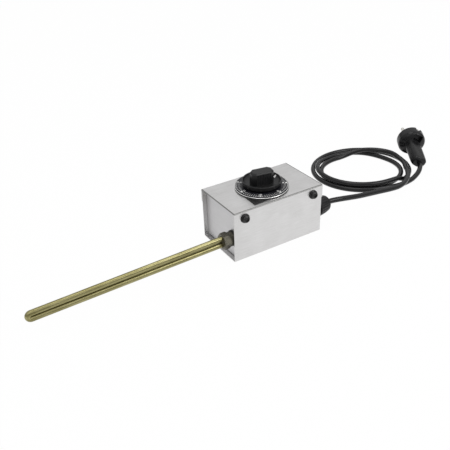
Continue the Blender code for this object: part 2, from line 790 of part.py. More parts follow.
def make_wiring(barrel_y, barrel_z, earth_end):
    core_x = sheath_end_x - fit_gap
    live_z = gland_height + core_spacing
    earth_z = gland_height - core_spacing
    blade_end = thermostat_length / 2 + blade_length + 2 * fit_gap
    pin_end = leg_end + pin_length + 2 * fit_gap
    blade_y = dial_axis[1] + blade_offset
    barrel_end = block_centre[0] + wire_entry
    routes = {
        "wire_live": (
            (0.25, 0.1, 0.05),
            [(core_x, gland_y, live_z), (core_x - 2.5, gland_y, live_z), (35, -17, 36), (34, -10, 41.5),
             (blade_end + 2.5, blade_y, blade_z), (blade_end, blade_y, blade_z)]),
        "wire_neutral": (
            (0.05, 0.15, 0.5),
            [(core_x, gland_y, gland_height), (core_x - 2.5, gland_y, gland_height), (29, -23.2, 20),
             (20, -20, 12), (12, barrel_y, barrel_z), (barrel_end, barrel_y, barrel_z)]),
        "wire_earth": (
            (0.2, 0.5, 0.1),
            [(core_x, gland_y, earth_z), (core_x - 2.5, gland_y, earth_z), (38.5, -17, 14), (39.5, -8.5, 6),
             (earth_end[0] + 2.5, earth_end[1], earth_end[2]), earth_end]),
        "wire_heater_live": (
            (0.25, 0.1, 0.05),
            [(-blade_end, blade_y, blade_z), (-blade_end - 2.5, blade_y, blade_z), (-35, -13, 39.5), (-35.5, -20, 33),
             (pin_end + 2.5, element_y, element_height + element_half_spacing),
             (pin_end, element_y, element_height + element_half_spacing)]),
        "wire_heater_neutral": (
            (0.05, 0.15, 0.5),
            [(-barrel_end, barrel_y, barrel_z), (-12, barrel_y, barrel_z), (-21, -20, 12), (-30, -23, 18),
             (pin_end + 2.5, element_y, element_height - element_half_spacing),
             (pin_end, element_y, element_height - element_half_spacing)]),
    }
    for name, (colour, route) in routes.items():
        tube(name, smooth_points(route, 3.5), core_radius, (colour, 0.5, 0.0))


def make_gland():
    at = (0.0, gland_y, gland_height)
    nylon = (black, 0.45, 0.0)
    bore = cord_radius + fit_gap
    flange = end_face + fit_gap
    body = prism("gland_body", 6, gland_hex_radius, flange, gland_hex_end, nylon, at, "+x", spin=30)
    stem_low = flange - gland_stem_length
    nose_end = gland_hex_end + gland_nose_length
    stem = prism("gland_stem", 32, gland_stem_radius, stem_low, nose_end, nylon, at, "+x")
    fuse(body, stem)
    drill(body, bore, (stem_low, gland_y, gland_height), "+x", nose_end - stem_low + 0.5)
    nut_start = end_inside - fit_gap - gland_nut_height
    ring("gland_lock_nut", gland_stem_radius + fit_gap, gland_nut_radius, nut_start, nut_start + gland_nut_height,
         nylon, at, "+x")
    seal_start = nose_end + fit_gap
    ring("gland_seal", bore, gland_stem_radius, seal_start, seal_start + seal_length, (black, 0.7, 0.0), at, "+x")
    socket = gland_stem_radius + fit_gap
    socket_end = seal_start + seal_length + fit_gap
    wide = dome_radius
    outline = [
        (bore, dome_end), (wide * 0.37, dome_end), (wide * 0.6, dome_end - 0.5), (wide * 0.75, dome_end - 2.5),
        (wide * 0.87, dome_end - 7.2), (wide * 0.96, dome_end - 13.0), (wide, dome_start + 0.8), (wide * 0.97, dome_start),
        (socket, dome_start), (socket, socket_end), (bore, socket_end)]
    turned("gland_dome", outline, (black, 0.4, 0.0), at, "+x", ring=True)
    tube("cord_sheath_end", [(sheath_end_x, gland_y, gland_height), (dome_end, gland_y, gland_height)],
         cord_radius, (black, 0.45, 0.0), 4)


def ease(value, low, high):
    share = min(max((value - low) / (high - low), 0.0), 1.0)
    return share * share * (3 - 2 * share)


def coil_step(angle):
    # sideways step from strand to strand
    turn = ((angle - coil_fan_angle + 180) % 360 - 180) / coil_fan_half_width
    if abs(turn) >= 1:
        return coil_tight_step
    return coil_tight_step + coil_fan_step * math.cos(math.pi / 2 * turn) ** 2


def coil_point(turn):
    # The first strand lies on the pile, crosses inwards and runs along the inside. The second runs over the
    # other two where they lie close, and then comes down on the outside as the third.
    angle = 360 * turn
    step = coil_step(angle)
    on_pile = math.sqrt(strand_step ** 2 - coil_tight_step ** 2)
    if turn < 0.6:
        inwards = ease(turn, -0.01, 0.17)
        place = -inwards
        lift = on_pile * ease(step, coil_pile_wide, coil_pile_narrow) * (1 - inwards)
        hop = (strand_step + 0.6) * ease(turn, -0.14, 0.02) * (1 - ease(turn, 0.12, 0.25))
        lift = max(lift, hop, on_pile if turn < 0 else 0.0)
    else:
        place = ease(turn, 1.0, 1.17) + ease(turn, 1.74, 1.85) - 1
        room = step * (1 + max(place, 0.0))
        piled = ease(turn, 1.1, 1.2) * (1 - ease(turn, 1.85, 1.95))
        lift = on_pile * ease(room, coil_pile_wide, coil_pile_narrow) * piled
    radius = coil_mean_radius + coil_oval * math.cos(math.radians(2 * (angle - coil_oval_angle))) + place * step
    heading = math.radians(angle)
    return Vector((coil_centre[0] + radius * math.cos(heading), coil_centre[1] + radius * math.sin(heading),
                   coil_rest + lift))


def coil_points():
    count = round((coil_end_turn - coil_start_turn) * coil_points_per_turn)
    span = coil_end_turn - coil_start_turn
    return [coil_point(coil_start_turn + span * i / count) for i in range(count + 1)]


def dense(points, spacing=2.0):
    fine = []
    for a, b in zip(points, points[1:]):
        count = max(1, round((b - a).length / spacing))
        fine += [a.lerp(b, i / count) for i in range(count)]
    return fine + [points[-1]]


def least_gap(first, second, apart=0.0):
    # least clear space between two tubes, or between one tube and itself further along than apart
    first = dense(first)
    second = dense(second)
    same = apart > 0
    least = 1e9
    for i, a in enumerate(first):
        for j, b in enumerate(second):
            if same and abs(i - j) * 2.0 < apart:
                continue
            least = min(least, (a - b).length)
    return least - 2 * cord_radius


def plug_direction():
    azimuth = math.radians(plug_azimuth)
    elevation = math.radians(plug_elevation)
    return Vector((math.cos(azimuth) * math.cos(elevation), math.sin(azimuth) * math.cos(elevation),
                   math.sin(elevation)))


def make_cord():
    rubber = (black, 0.4, 0.0)
    coil = coil_points()
    start_way = (coil[1] - coil[0]).normalized()
    end_way = (coil[-1] - coil[-2]).normalized()
    straight = 2 * cord_radius
    spacing = 5 * cord_radius
    exit_x = dome_end + fit_gap
    lead_start = [Vector((exit_x, gland_y, gland_height)), Vector((exit_x + straight, gland_y, gland_height))]
    lead_end = [coil[0] - start_way * (straight + fit_gap), coil[0] - start_way * fit_gap]
    lead = smooth_points(lead_start + lead_route + lead_end, spacing)
    way = plug_direction()
    boot = Vector(plug_centre) - way * (plug_length + fit_gap)
    tail_start = [coil[-1] + end_way * fit_gap, coil[-1] + end_way * (straight + fit_gap)]
    tail = smooth_points(tail_start + tail_route + [boot - way * straight, boot], spacing)
    tube("cord_lead", lead, cord_radius, rubber, 2)
    tube("cord_coil", coil, cord_radius, rubber, 1)
    tube("cord_tail", tail, cord_radius, rubber, 2)
    print("coil's least gap to itself", round(least_gap(coil, coil, 30.0), 2), "mm")
    print("lead to tail", round(least_gap(lead, tail), 2), "mm")
    print("lead to coil", round(least_gap(lead[:-2], coil), 2), "mm")
    print("tail to coil", round(least_gap(tail[3:], coil), 2), "mm")
    length = sum((b - a).length for run in (lead, coil, tail) for a, b in zip(run, run[1:]))
    print("cord's length outside the gland", round(length), "mm")


def make_plug():
    # built about its own axis, +Z towards the pins, under an empty at the widest part of its body
    moulded = (black, 0.5, 0.0)
    way = plug_direction()
    side = Vector((-way.y, way.x, 0.0)).normalized()
    upright = way.cross(side)
    if upright.z < 0:
        upright = -upright
    roll = math.radians(plug_roll)
    across = side * math.cos(roll) + upright * math.sin(roll)
    frame = Matrix((across, way.cross(across), way)).transposed().to_4x4()
    holder = bpy.data.objects.new("plug_frame", None)
    parts.objects.link(holder)
    holder.matrix_world = Matrix.Translation(scaled(plug_centre)) @ frame
    wide = plug_radius
    back = plug_back
    outline = [(0, plug_face), (wide * 0.93, plug_face), (wide, plug_face - 1.4), (wide, -back * 0.4),
               (wide * 0.9, -back * 0.68), (wide * 0.66, -back * 0.9), (wide * 0.5, -back), (0, -back)]
    body = turned("plug_body", outline, moulded, steps=40)
    half_width = plug_grip_width / 2
    half_thickness = plug_grip_thickness / 2
    grip = block("plug_grip", (-half_width, -half_thickness, -plug_length),
                 (half_width, half_thickness, -back * 0.5), moulded, plug_grip_corner)
    fuse(body, grip)
    pieces = [body, grip]
    for name, sign in (("a", 1), ("b", -1)):
        pin_x = sign * plug_pin_distance
        foot = plug_face - plug_pin_seat
        tip = plug_face + plug_pin_length
        radius = plug_pin_radius
        pin_outline = [(0, tip), (radius * 0.6, tip - 0.3), (radius, tip - 1.6), (radius, foot), (0, foot)]
        pieces.append(turned("plug_pin_" + name, pin_outline, ((0.6, 0.6, 0.58), 0.2, 1.0), (pin_x, 0, 0), steps=20))
        seat = prism("pin_seat_" + name, 20, radius + fit_gap, foot - fit_gap, plug_face + 1.0, moulded, (pin_x, 0, 0))
        cut(body, seat)
        pieces.append(seat)
        hollow_low = sign * (half_thickness + plug_hollow_wall)
        hollow_high = sign * wide * plug_hollow_reach
        hollow = block("finger_hollow_" + name,
                       (-plug_hollow_width / 2, min(hollow_low, hollow_high), -back - plug_hollow_lead),
                       (plug_hollow_width / 2, max(hollow_low, hollow_high), -back * plug_hollow_shoulder), moulded)
        cut(body, hollow)
        pieces.append(hollow)
    pieces += make_earth_clip(body, moulded)
    for piece in pieces:
        piece.parent = holder


def make_earth_clip(body, moulded):
    # one bent strip: an arm in a groove on either side and a bridge through the body
    outer = plug_radius - clip_sink
    inner = outer - clip_thickness
    low = plug_face - clip_length
    half = clip_width / 2
    slack = fit_gap
    clip = block("plug_earth_clip", (-half, -outer, low), (half, outer, plug_face - slack),
                 ((0.7, 0.68, 0.6), 0.25, 1.0))
    opening = block("clip_opening", (-half - 1, -inner, low + clip_thickness), (half + 1, inner, plug_face + 1), moulded)
    cut(clip, opening)
    bridge_slot = block("clip_bridge_slot", (-half - slack, -outer, low - slack),
                        (half + slack, outer, low + clip_thickness + slack), moulded)
    cut(body, bridge_slot)
    pieces = [clip, opening, bridge_slot]
    for name, sign in (("a", 1), ("b", -1)):
        edge = sign * (plug_radius + 2.0)
        groove_floor = sign * (inner - slack)
        groove = block("clip_groove_" + name, (-half - slack, min(groove_floor, edge), low - slack),
                       (half + slack, max(groove_floor, edge), plug_face + 1.0), moulded)
        cut(body, groove)
        pieces.append(groove)
    return pieces


make_box()
make_end_plates()
make_lid_screws()
make_element()
make_bush()
make_dial_plates()
make_knob()
make_thermostat()
make_sensor()
barrel_y, barrel_z = make_connector_block()
earth_end = make_earth_point()
make_wiring(barrel_y, barrel_z, earth_end)
make_gland()
make_cord()
make_plug()
print("parts", len([thing for thing in parts.objects if thing.type != "EMPTY"]))
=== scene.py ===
# Aquarium heater: a hairpin element on a steel thermostat box, with its dial, lead, coil and plug.
# Lengths in the dictionaries are millimetres. The origin is the middle of the box's underside, +X is the
# cord end, -Y the front and +Z up.
import math
import bmesh
import bpy
from mathutils import Matrix, Vector


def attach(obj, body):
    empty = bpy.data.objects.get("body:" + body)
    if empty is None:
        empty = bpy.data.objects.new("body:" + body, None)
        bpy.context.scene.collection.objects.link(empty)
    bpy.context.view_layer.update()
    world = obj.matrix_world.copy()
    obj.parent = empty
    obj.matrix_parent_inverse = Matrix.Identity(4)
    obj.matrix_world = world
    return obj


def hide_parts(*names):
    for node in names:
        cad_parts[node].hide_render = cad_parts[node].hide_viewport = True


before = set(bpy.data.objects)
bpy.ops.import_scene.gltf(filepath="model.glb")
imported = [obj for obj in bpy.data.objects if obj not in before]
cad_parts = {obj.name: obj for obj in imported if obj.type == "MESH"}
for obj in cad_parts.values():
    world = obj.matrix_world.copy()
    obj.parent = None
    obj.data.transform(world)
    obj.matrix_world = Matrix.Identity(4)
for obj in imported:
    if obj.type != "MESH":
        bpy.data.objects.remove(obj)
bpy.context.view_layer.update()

mm = 0.001
scene = bpy.context.scene
scene.view_settings.view_transform = "Standard"


# The camera comes first; the cord's points were measured against its view.

viewpoint = {
    "place": (-334.3, -494.4, 376.2),
    "right": (0.85447, -0.51793, -0.04025),
    "up": (0.29946, 0.42777, 0.85284),
    "back": (-0.42450, -0.74079, 0.52062),
    "lens": 46.76,
    "sensor": 36.0,
}


def placeCamera(v):
    data = bpy.data.cameras.new("camera")
    data.lens = v["lens"]
    data.sensor_width = v["sensor"]
    data.clip_start = 0.01
    data.clip_end = 20
    camera = bpy.data.objects.new("camera", data)
    scene.collection.objects.link(camera)
    turn = Matrix((v["right"], v["up"], v["back"])).transposed().to_4x4()
    camera.matrix_world = Matrix.Translation(Vector(v["place"]) * mm) @ turn
    scene.camera = camera


placeCamera(viewpoint)
print("camera placed")


# Shader trees written as sums.

class Wire:
    # one output in a look's tree; a sum on it adds the Math nodes
    def __init__(self, look, socket):
        self.look = look
        self.socket = socket

    def __add__(self, other):
        return self.look.sum("ADD", self, other)

    def __sub__(self, other):
        return self.look.sum("SUBTRACT", self, other)

    def __rsub__(self, other):
        return self.look.sum("SUBTRACT", other, self)

    def __mul__(self, other):
        return self.look.sum("MULTIPLY", self, other)

    __radd__ = __add__
    __rmul__ = __mul__


class Look:
    # a material and short ways to add its nodes
    def __init__(self, name, metallic=0.0, fixed=None):
        self.material = bpy.data.materials.new(name)
        self.material.use_nodes = True
        self.nodes = self.material.node_tree.nodes
        self.links = self.material.node_tree.links
        self.shader = self.nodes["Principled BSDF"]
        self.shader.inputs["Metallic"].default_value = metallic
        for socket, value in (fixed or {}).items():
            self.shader.inputs[socket].default_value = value

    def plug(self, socket, value):
        if isinstance(value, Wire):
            self.links.new(value.socket, socket)
        else:
            socket.default_value = value

    def node(self, kind, settings=None, values=None, out=0):
        made = self.nodes.new(kind)
        for key, value in (settings or {}).items():
            if key == "stops":
                ramp = made.color_ramp
                ramp.elements[0].position, ramp.elements[0].color = value[0]
                ramp.elements[1].position, ramp.elements[1].color = value[-1]
                for place, colour in value[1:-1]:
                    ramp.elements.new(place).color = colour
            else:
                setattr(made, key, value)
        for key, value in (values or {}).items():
            self.plug(made.inputs[key], value)
        return Wire(self, made.outputs[out])

    def sum(self, operation, first, second=0.0):
        return self.node("ShaderNodeMath", {"operation": operation}, {0: first, 1: second})

    def where(self, stretch=(1, 1, 1)):
        # the piece's own coordinates in metres, stretched for a grain
        spot = self.node("ShaderNodeTexCoord", out="Object")
        return self.node("ShaderNodeMapping", {}, {"Vector": spot, "Scale": stretch})

    def along(self, stretch):
        # a tube's own length and girth, from its UV map
        spot = self.node("ShaderNodeTexCoord", out="UV")
        return self.node("ShaderNodeMapping", {}, {"Vector": spot, "Scale": stretch})

    def noise(self, spot, scale, detail=3.0, rough=0.5):
        return self.node("ShaderNodeTexNoise", {}, {"Vector": spot, "Scale": scale, "Detail": detail,
                                                    "Roughness": rough})

    def band(self, value, low, high, first=0.0, last=1.0):
        # value from low..high to first..last, held at the ends
        return self.node("ShaderNodeMapRange", {}, {"Value": value, "From Min": low, "From Max": high,
                                                    "To Min": first, "To Max": last})

    def tint(self, share, first, second):
        return self.node("ShaderNodeMix", {"data_type": "RGBA"},
                         {0: share, 6: (*first, 1.0) if isinstance(first, tuple) else first,
                          7: (*second, 1.0) if isinstance(second, tuple) else second}, 2)

    def bump(self, height, strength, depth):
        return self.node("ShaderNodeBump", {}, {"Height": height, "Strength": strength, "Distance": depth})

    def finish(self, colour, roughness, normal=None):
        self.plug(self.shader.inputs["Base Color"], colour)
        self.plug(self.shader.inputs["Roughness"], roughness)
        if normal is not None:
            self.plug(self.shader.inputs["Normal"], normal)
        return self.material


def brushedSheet(name, grain, settings):
    # satin sheet steel: long fine scratches along the grain, faint cloudiness and handling marks, and, where
    # settings ask, a painted shade line along the lid's bends and ends
    look = Look(name, metallic=1.0)
    streaks = look.noise(look.where(grain), 1.0, 4.0, 0.6)
    fine = look.noise(look.where(tuple(g * 2.7 for g in grain)), 1.0, 2.0)
    clouds = look.noise(look.where(), settings["cloudScale"], 5.0, 0.6)
    marks = look.band(look.noise(look.where(), settings["markScale"], 6.0, 0.7), 0.56, 0.72)
    share = look.band(streaks * 0.6 + clouds * 0.4, 0.35, 0.65)
    colour = look.tint(share, settings["dark"], settings["light"])
    # painted shade: a dark line along the lid's front and back bends and across its ends, standing in for the
    # shade there
    if "foldShade" in settings:
        place = look.node("ShaderNodeTexCoord", out="Object")
        across = look.sum("ABSOLUTE", look.node("ShaderNodeSeparateXYZ", {}, {0: place}, 1))
        along = look.sum("ABSOLUTE", look.node("ShaderNodeSeparateXYZ", {}, {0: place}))
        up = look.node("ShaderNodeSeparateXYZ", {}, {0: place}, 2)
        foldShade = look.band(across, *settings["foldShadeAcross"]) * look.band(up, *settings["foldShadeUp"])
        endShade = look.band(along, *settings["endShadeAlong"]) * look.band(up, *settings["foldShadeUp"])
        colour = look.tint(look.sum("MAXIMUM", foldShade, endShade) * settings["foldShadeShare"], colour, settings["foldShade"])
    roughness = settings["roughness"] + (streaks - 0.5) * 0.16 + (clouds - 0.5) * 0.14 + marks * 0.05
    normal = look.bump(streaks + fine * 0.5, settings["bump"], 0.00004)
    return look.finish(colour, roughness, normal)


def mouldedPlastic(name, colour, roughness, settings):
    # moulded black plastic with a fine spark texture, dust and rubbed places
    look = Look(name, fixed={"Specular IOR Level": settings["gloss"]})
    spot = look.where()
    grit = look.noise(spot, settings["grit"], 3.0, 0.6)
    rub = look.noise(spot, settings["rub"], 4.0)
    dust = look.band(look.noise(spot, settings["dust"], 6.0, 0.75), 0.55, 0.8)
    pale = tuple(min(1.0, c * 1.6 + 0.004) for c in colour)
    shade = look.tint(look.band(rub, 0.3, 0.7), colour, pale)
    shade = look.tint(dust * 0.03, shade, (0.32, 0.31, 0.30))
    rough = roughness + (rub - 0.5) * 0.18 + dust * 0.12
    return look.finish(shade, rough, look.bump(grit, settings["bump"], 0.00005))


def plainMetal(name, dark, light, roughness, spread, scale, bump=0.15):
    # plated or drawn metal with cloudy tarnish and small dings
    look = Look(name, metallic=1.0)
    spot = look.where()
    clouds = look.noise(spot, scale, 5.0, 0.6)
    dings = look.noise(spot, scale * 9, 3.0)
    colour = look.tint(look.band(clouds, 0.3, 0.7), dark, light)
    return look.finish(colour, roughness + (clouds - 0.5) * spread, look.bump(dings, bump, 0.00006))


def dullSolid(name, dark, light, roughness, scale, bump=0.2):
    # ceramic, phenolic, insulation and rubber: slight mottling and pores
    look = Look(name)
    spot = look.where()
    mottle = look.noise(spot, scale, 5.0, 0.6)
    pores = look.noise(spot, scale * 8, 2.0)
    colour = look.tint(look.band(mottle, 0.3, 0.7), dark, light)
    return look.finish(colour, roughness + (mottle - 0.5) * 0.15, look.bump(pores, bump, 0.00006))


def elementSheath(name, settings):
    # drawn tube: fine lengthwise draw lines, cloudy tarnish, and a darker colour towards the bush
    look = Look(name, metallic=1.0)
    lines = look.noise(look.along((10, 22, 1)), 1.0, 3.0, 0.6)
    clouds = look.noise(look.where((40, 220, 220)), 1.0, 4.0, 0.6)
    spots = look.band(look.noise(look.where(), 900, 5.0, 0.7), 0.58, 0.72)
    along = look.node("ShaderNodeSeparateXYZ", {}, {0: look.node("ShaderNodeTexCoord", out="Object")}, 0)
    # darker towards the bush, blending in between x = -85 mm and -62 mm
    nearBush = look.band(along, *settings["nearBushAlong"])
    base = look.tint(look.band(lines * 0.5 + clouds * 0.5, 0.36, 0.64), settings["dark"], settings["light"])
    base = look.tint(nearBush * 0.5, base, settings["nearBush"])
    base = look.tint(spots * 0.25, base, settings["spot"])
    rough = settings["roughness"] + (lines - 0.5) * 0.05 + spots * 0.08 + (clouds - 0.5) * 0.05
    return look.finish(base, rough)


def cordSkin(name, settings):
    # flexible black sheath: faint run of the cores under it, die lines along it, a little dust
    look = Look(name, fixed={"Specular IOR Level": settings["gloss"]})
    lines = look.noise(look.along((9, 30, 1)), 1.0, 3.0, 0.6)
    soft = look.noise(look.along((45, 3, 1)), 1.0, 2.0)
    dust = look.band(look.noise(look.where(), 500, 6.0, 0.75), 0.57, 0.8)
    shade = look.tint(look.band(soft, 0.3, 0.7), settings["dark"], settings["light"])
    shade = look.tint(dust * 0.02, shade, (0.3, 0.3, 0.3))
    rough = settings["roughness"] + (lines - 0.5) * 0.06 + dust * 0.06
    return look.finish(shade, rough, look.bump(soft, 0.04, 0.00004))


def scalePaint(name):
    # screen-printed ink, slightly broken at its edges
    look = Look(name)
    worn = look.band(look.noise(look.where(), 2600, 4.0, 0.7), 0.62, 0.78)
    colour = look.tint(worn * 0.4, (0.90, 0.90, 0.88), (0.50, 0.50, 0.49))
    return look.finish(colour, 0.5 + worn * 0.2)


def oxidised(name, settings):
    # blacked or weathered metal: dark scale with bare metal showing through in specks
    look = Look(name, metallic=settings["metallic"])
    spot = look.where()
    scaleNoise = look.noise(spot, settings["scale"], 6.0, 0.7)
    bare = look.band(look.noise(spot, settings["scale"] * 2.3, 5.0, 0.75),
                     settings["bareFrom"], settings["bareTo"])
    base = look.tint(look.band(scaleNoise, 0.35, 0.65), settings["dark"], settings["light"])
    base = look.tint(bare * settings["bareShare"], base, settings["bare"])
    rough = settings["roughness"] + (scaleNoise - 0.5) * 0.3 - bare * 0.08
    return look.finish(base, rough, look.bump(scaleNoise, settings["bump"], 0.00012))


sheetSettings = {"dark": (0.61, 0.605, 0.60), "light": (0.73, 0.725, 0.725), "roughness": 0.32,
                 "cloudScale": 45, "markScale": 160, "bump": 0.22}
# the lid's painted shade: its colour, its share, and the bands across, up and along where it lies
lidSettings = {**sheetSettings, "foldShade": (0.10, 0.10, 0.095), "foldShadeShare": 0.85,
               "foldShadeAcross": (0.0343, 0.0348), "foldShadeUp": (0.0612, 0.0617), "endShadeAlong": (0.0587, 0.0592)}
plasticSettings = {"grit": 5200, "rub": 90, "dust": 380, "bump": 0.25, "gloss": 0.3}
looks = {
    "sheetAlong": brushedSheet("brushed sheet, grain along the box", (55, 1500, 1500), sheetSettings),
    # the end plates: the body's steel painted darker, as painted shade on the recessed ends
    "sheetAcrossShaded": brushedSheet("brushed sheet, grain across the end", (1500, 55, 1500),
                                {**sheetSettings, "dark": (0.50, 0.495, 0.50), "light": (0.60, 0.595, 0.60),
                                 "roughness": 0.42}),
    "lidSheet": brushedSheet("brushed sheet, with painted shade at its folds and ends", (55, 1500, 1500), lidSettings),
    "element": elementSheath("element sheath, darker towards the bush", {
        "dark": (0.20, 0.18, 0.075), "light": (0.40, 0.37, 0.19), "nearBush": (0.16, 0.14, 0.07),
        "nearBushAlong": (-0.085, -0.062), "spot": (0.11, 0.095, 0.045), "roughness": 0.33}),
    "bush": oxidised("weathered bush", {
        "metallic": 0.85, "scale": 650, "dark": (0.05, 0.048, 0.038), "light": (0.17, 0.16, 0.125),
        "bareFrom": 0.52, "bareTo": 0.7, "bareShare": 0.7, "bare": (0.42, 0.40, 0.33), "roughness": 0.42,
        "bump": 0.5}),
    "blackScrew": oxidised("blackened screw", {
        "metallic": 0.7, "scale": 900, "dark": (0.018, 0.018, 0.018), "light": (0.05, 0.05, 0.05),
        "bareFrom": 0.6, "bareTo": 0.8, "bareShare": 0.25, "bare": (0.25, 0.25, 0.25), "roughness": 0.3,
        "bump": 0.2}),
    "blackWasher": oxidised("blackened washer", {
        "metallic": 0.3, "scale": 900, "dark": (0.004, 0.004, 0.004), "light": (0.010, 0.010, 0.010),
        "bareFrom": 0.6, "bareTo": 0.8, "bareShare": 0.1, "bare": (0.2, 0.2, 0.2), "roughness": 0.34,
        "bump": 0.2}),
    "knob": mouldedPlastic("dial plastic", (0.006, 0.006, 0.0065), 0.36, plasticSettings),
    "disc": mouldedPlastic("scale disc", (0.007, 0.007, 0.010), 0.34, plasticSettings),
    "nylon": mouldedPlastic("gland nylon", (0.004, 0.004, 0.0045), 0.36, {**plasticSettings, "gloss": 0.24}),
    "plug": mouldedPlastic("plug moulding", (0.004, 0.004, 0.0045), 0.27, {**plasticSettings, "gloss": 0.26}),
    "enamel": mouldedPlastic("black enamel", (0.006, 0.006, 0.006), 0.3, plasticSettings),
    "cord": cordSkin("cord sheath", {"dark": (0.003, 0.003, 0.0035), "light": (0.006, 0.006, 0.0065),
                                     "roughness": 0.24, "gloss": 0.34}),
    "print": scalePaint("scale print"),
    "bezel": plainMetal("bright ring", (0.90, 0.90, 0.89), (0.98, 0.98, 0.97), 0.18, 0.1, 300),
    "nickel": plainMetal("nickel plate", (0.58, 0.57, 0.53), (0.8, 0.79, 0.75), 0.18, 0.15, 260),
    "zinc": plainMetal("zinc plate", (0.5, 0.5, 0.48), (0.68, 0.68, 0.66), 0.34, 0.2, 240),
    "brass": plainMetal("plain brass", (0.56, 0.42, 0.17), (0.76, 0.60, 0.29), 0.28, 0.18, 260),
    "copper": plainMetal("drawn copper", (0.50, 0.24, 0.12), (0.74, 0.40, 0.24), 0.27, 0.18, 220),
    "ceramic": dullSolid("unglazed ceramic", (0.70, 0.67, 0.60), (0.82, 0.80, 0.74), 0.62, 500),
    "phenolic": dullSolid("brown moulding", (0.10, 0.048, 0.024), (0.17, 0.085, 0.045), 0.42, 420),
    "rubber": dullSolid("seal rubber", (0.018, 0.018, 0.018), (0.036, 0.036, 0.035), 0.72, 600),
    "brownWire": dullSolid("brown insulation", (0.14, 0.055, 0.025), (0.22, 0.095, 0.05), 0.4, 300),
    "blueWire": dullSolid("blue insulation", (0.03, 0.10, 0.38), (0.05, 0.16, 0.5), 0.4, 300),
    "earthWire": dullSolid("green and yellow insulation", (0.05, 0.26, 0.05), (0.62, 0.55, 0.06), 0.4, 110),
}
print("looks made:", len(looks))


# Mesh helpers.

def softened(outline, cut, steps=4, closed=False):
    # an outline with its corners rounded; cut is how far from a corner each round begins
    spots = [Vector(p) for p in outline]
    made = [] if closed else [spots[0]]
    count = len(spots)
    for i in range(count) if closed else range(1, count - 1):
        before = spots[i - 1] - spots[i]
        after = spots[(i + 1) % count] - spots[i]
        reach = min(cut, before.length * 0.45, after.length * 0.45)
        start = spots[i] + before.normalized() * reach
        end = spots[i] + after.normalized() * reach
        for k in range(steps + 1):
            t = k / steps
            made.append(start * (1 - t) ** 2 + spots[i] * (2 * t * (1 - t)) + end * t ** 2)
    if not closed:
        made.append(spots[-1])
    return made


def turnedShape(profile, steps=96, closed=False, wave=None):
    # a profile of (radius, height) turned about Z; wave(angle, radius, height) scales the radius
    shape = bmesh.new()
    rings = []
    for radius, height in profile:
        if radius < 1e-6:
            rings.append([shape.verts.new((0, 0, height * mm))])
            continue
        ring = []
        for i in range(steps):
            angle = 2 * math.pi * i / steps
            r = radius * (wave(angle, radius, height) if wave else 1.0) * mm
            ring.append(shape.verts.new((r * math.cos(angle), r * math.sin(angle), height * mm)))
        rings.append(ring)
    for a, b in zip(rings, rings[1:] + (rings[:1] if closed else [])):
        for i in range(steps):
            j = (i + 1) % steps
            if len(a) == 1 and len(b) > 1:
                shape.faces.new((a[0], b[i], b[j]))
            elif len(b) == 1 and len(a) > 1:
                shape.faces.new((a[i], b[0], a[j]))
            elif len(a) > 1:
                shape.faces.new((a[i], b[i], b[j], a[j]))
    bmesh.ops.recalc_face_normals(shape, faces=shape.faces)
    return shape


def loftedShape(rings):
    # closed rings of equal count joined in turn, with flat ends
    shape = bmesh.new()
    rows = [[shape.verts.new(Vector(p) * mm) for p in ring] for ring in rings]
    count = len(rows[0])
    for a, b in zip(rows, rows[1:]):
        for i in range(count):
            j = (i + 1) % count
            shape.faces.new((a[i], b[i], b[j], a[j]))
    shape.faces.new(rows[0])
    shape.faces.new(reversed(rows[-1]))
    bmesh.ops.recalc_face_normals(shape, faces=shape.faces)
    return shape


def tubeShape(points, radius, sides):
    # a tube along points in millimetres; its UV map runs along it in metres and once round it
    shape = bmesh.new()
    layer = shape.loops.layers.uv.new("run")
    spots = [Vector(p) for p in points]
    ways = []
    for i in range(len(spots)):
        ways.append((spots[min(i + 1, len(spots) - 1)] - spots[max(i - 1, 0)]).normalized())
    side = ways[0].orthogonal().normalized()
    rows = []
    runs = [0.0]
    for a, b in zip(spots, spots[1:]):
        runs.append(runs[-1] + (b - a).length)
    for spot, way in zip(spots, ways):
        side = (side - way * side.dot(way)).normalized()
        other = way.cross(side)
        rows.append([shape.verts.new((spot + side * (radius * math.cos(2 * math.pi * k / sides))
                                      + other * (radius * math.sin(2 * math.pi * k / sides))) * mm)
                     for k in range(sides)])
    for i, (a, b) in enumerate(zip(rows, rows[1:])):
        for k in range(sides):
            j = (k + 1) % sides
            face = shape.faces.new((a[k], a[j], b[j], b[k]))
            corners = ((runs[i], k), (runs[i], k + 1), (runs[i + 1], k + 1), (runs[i + 1], k))
            for loop, (u, v) in zip(face.loops, corners):
                loop[layer].uv = (u * mm, v / sides)
    shape.faces.new(reversed(rows[0]))
    shape.faces.new(rows[-1])
    bmesh.ops.recalc_face_normals(shape, faces=shape.faces)
    return shape


def boxShape(low, high):
    shape = bmesh.new()
    bmesh.ops.create_cube(shape, size=1.0)
    centre = (Vector(low) + Vector(high)) / 2
    size = Vector(high) - Vector(low)
    for corner in shape.verts:
        corner.co = Vector([corner.co[i] * size[i] + centre[i] for i in range(3)]) * mm
    return shape


def extrudedShape(outline, low, high):
    # a closed (y, z) outline drawn out along X
    shape = bmesh.new()
    near = [shape.verts.new((low * mm, y * mm, z * mm)) for y, z in outline]
    far = [shape.verts.new((high * mm, y * mm, z * mm)) for y, z in outline]
    count = len(outline)
    for i in range(count):
        j = (i + 1) % count
        shape.faces.new((near[i], near[j], far[j], far[i]))
    shape.faces.new(reversed(near))
    shape.faces.new(far)
    bmesh.ops.recalc_face_normals(shape, faces=shape.faces)
    return shape


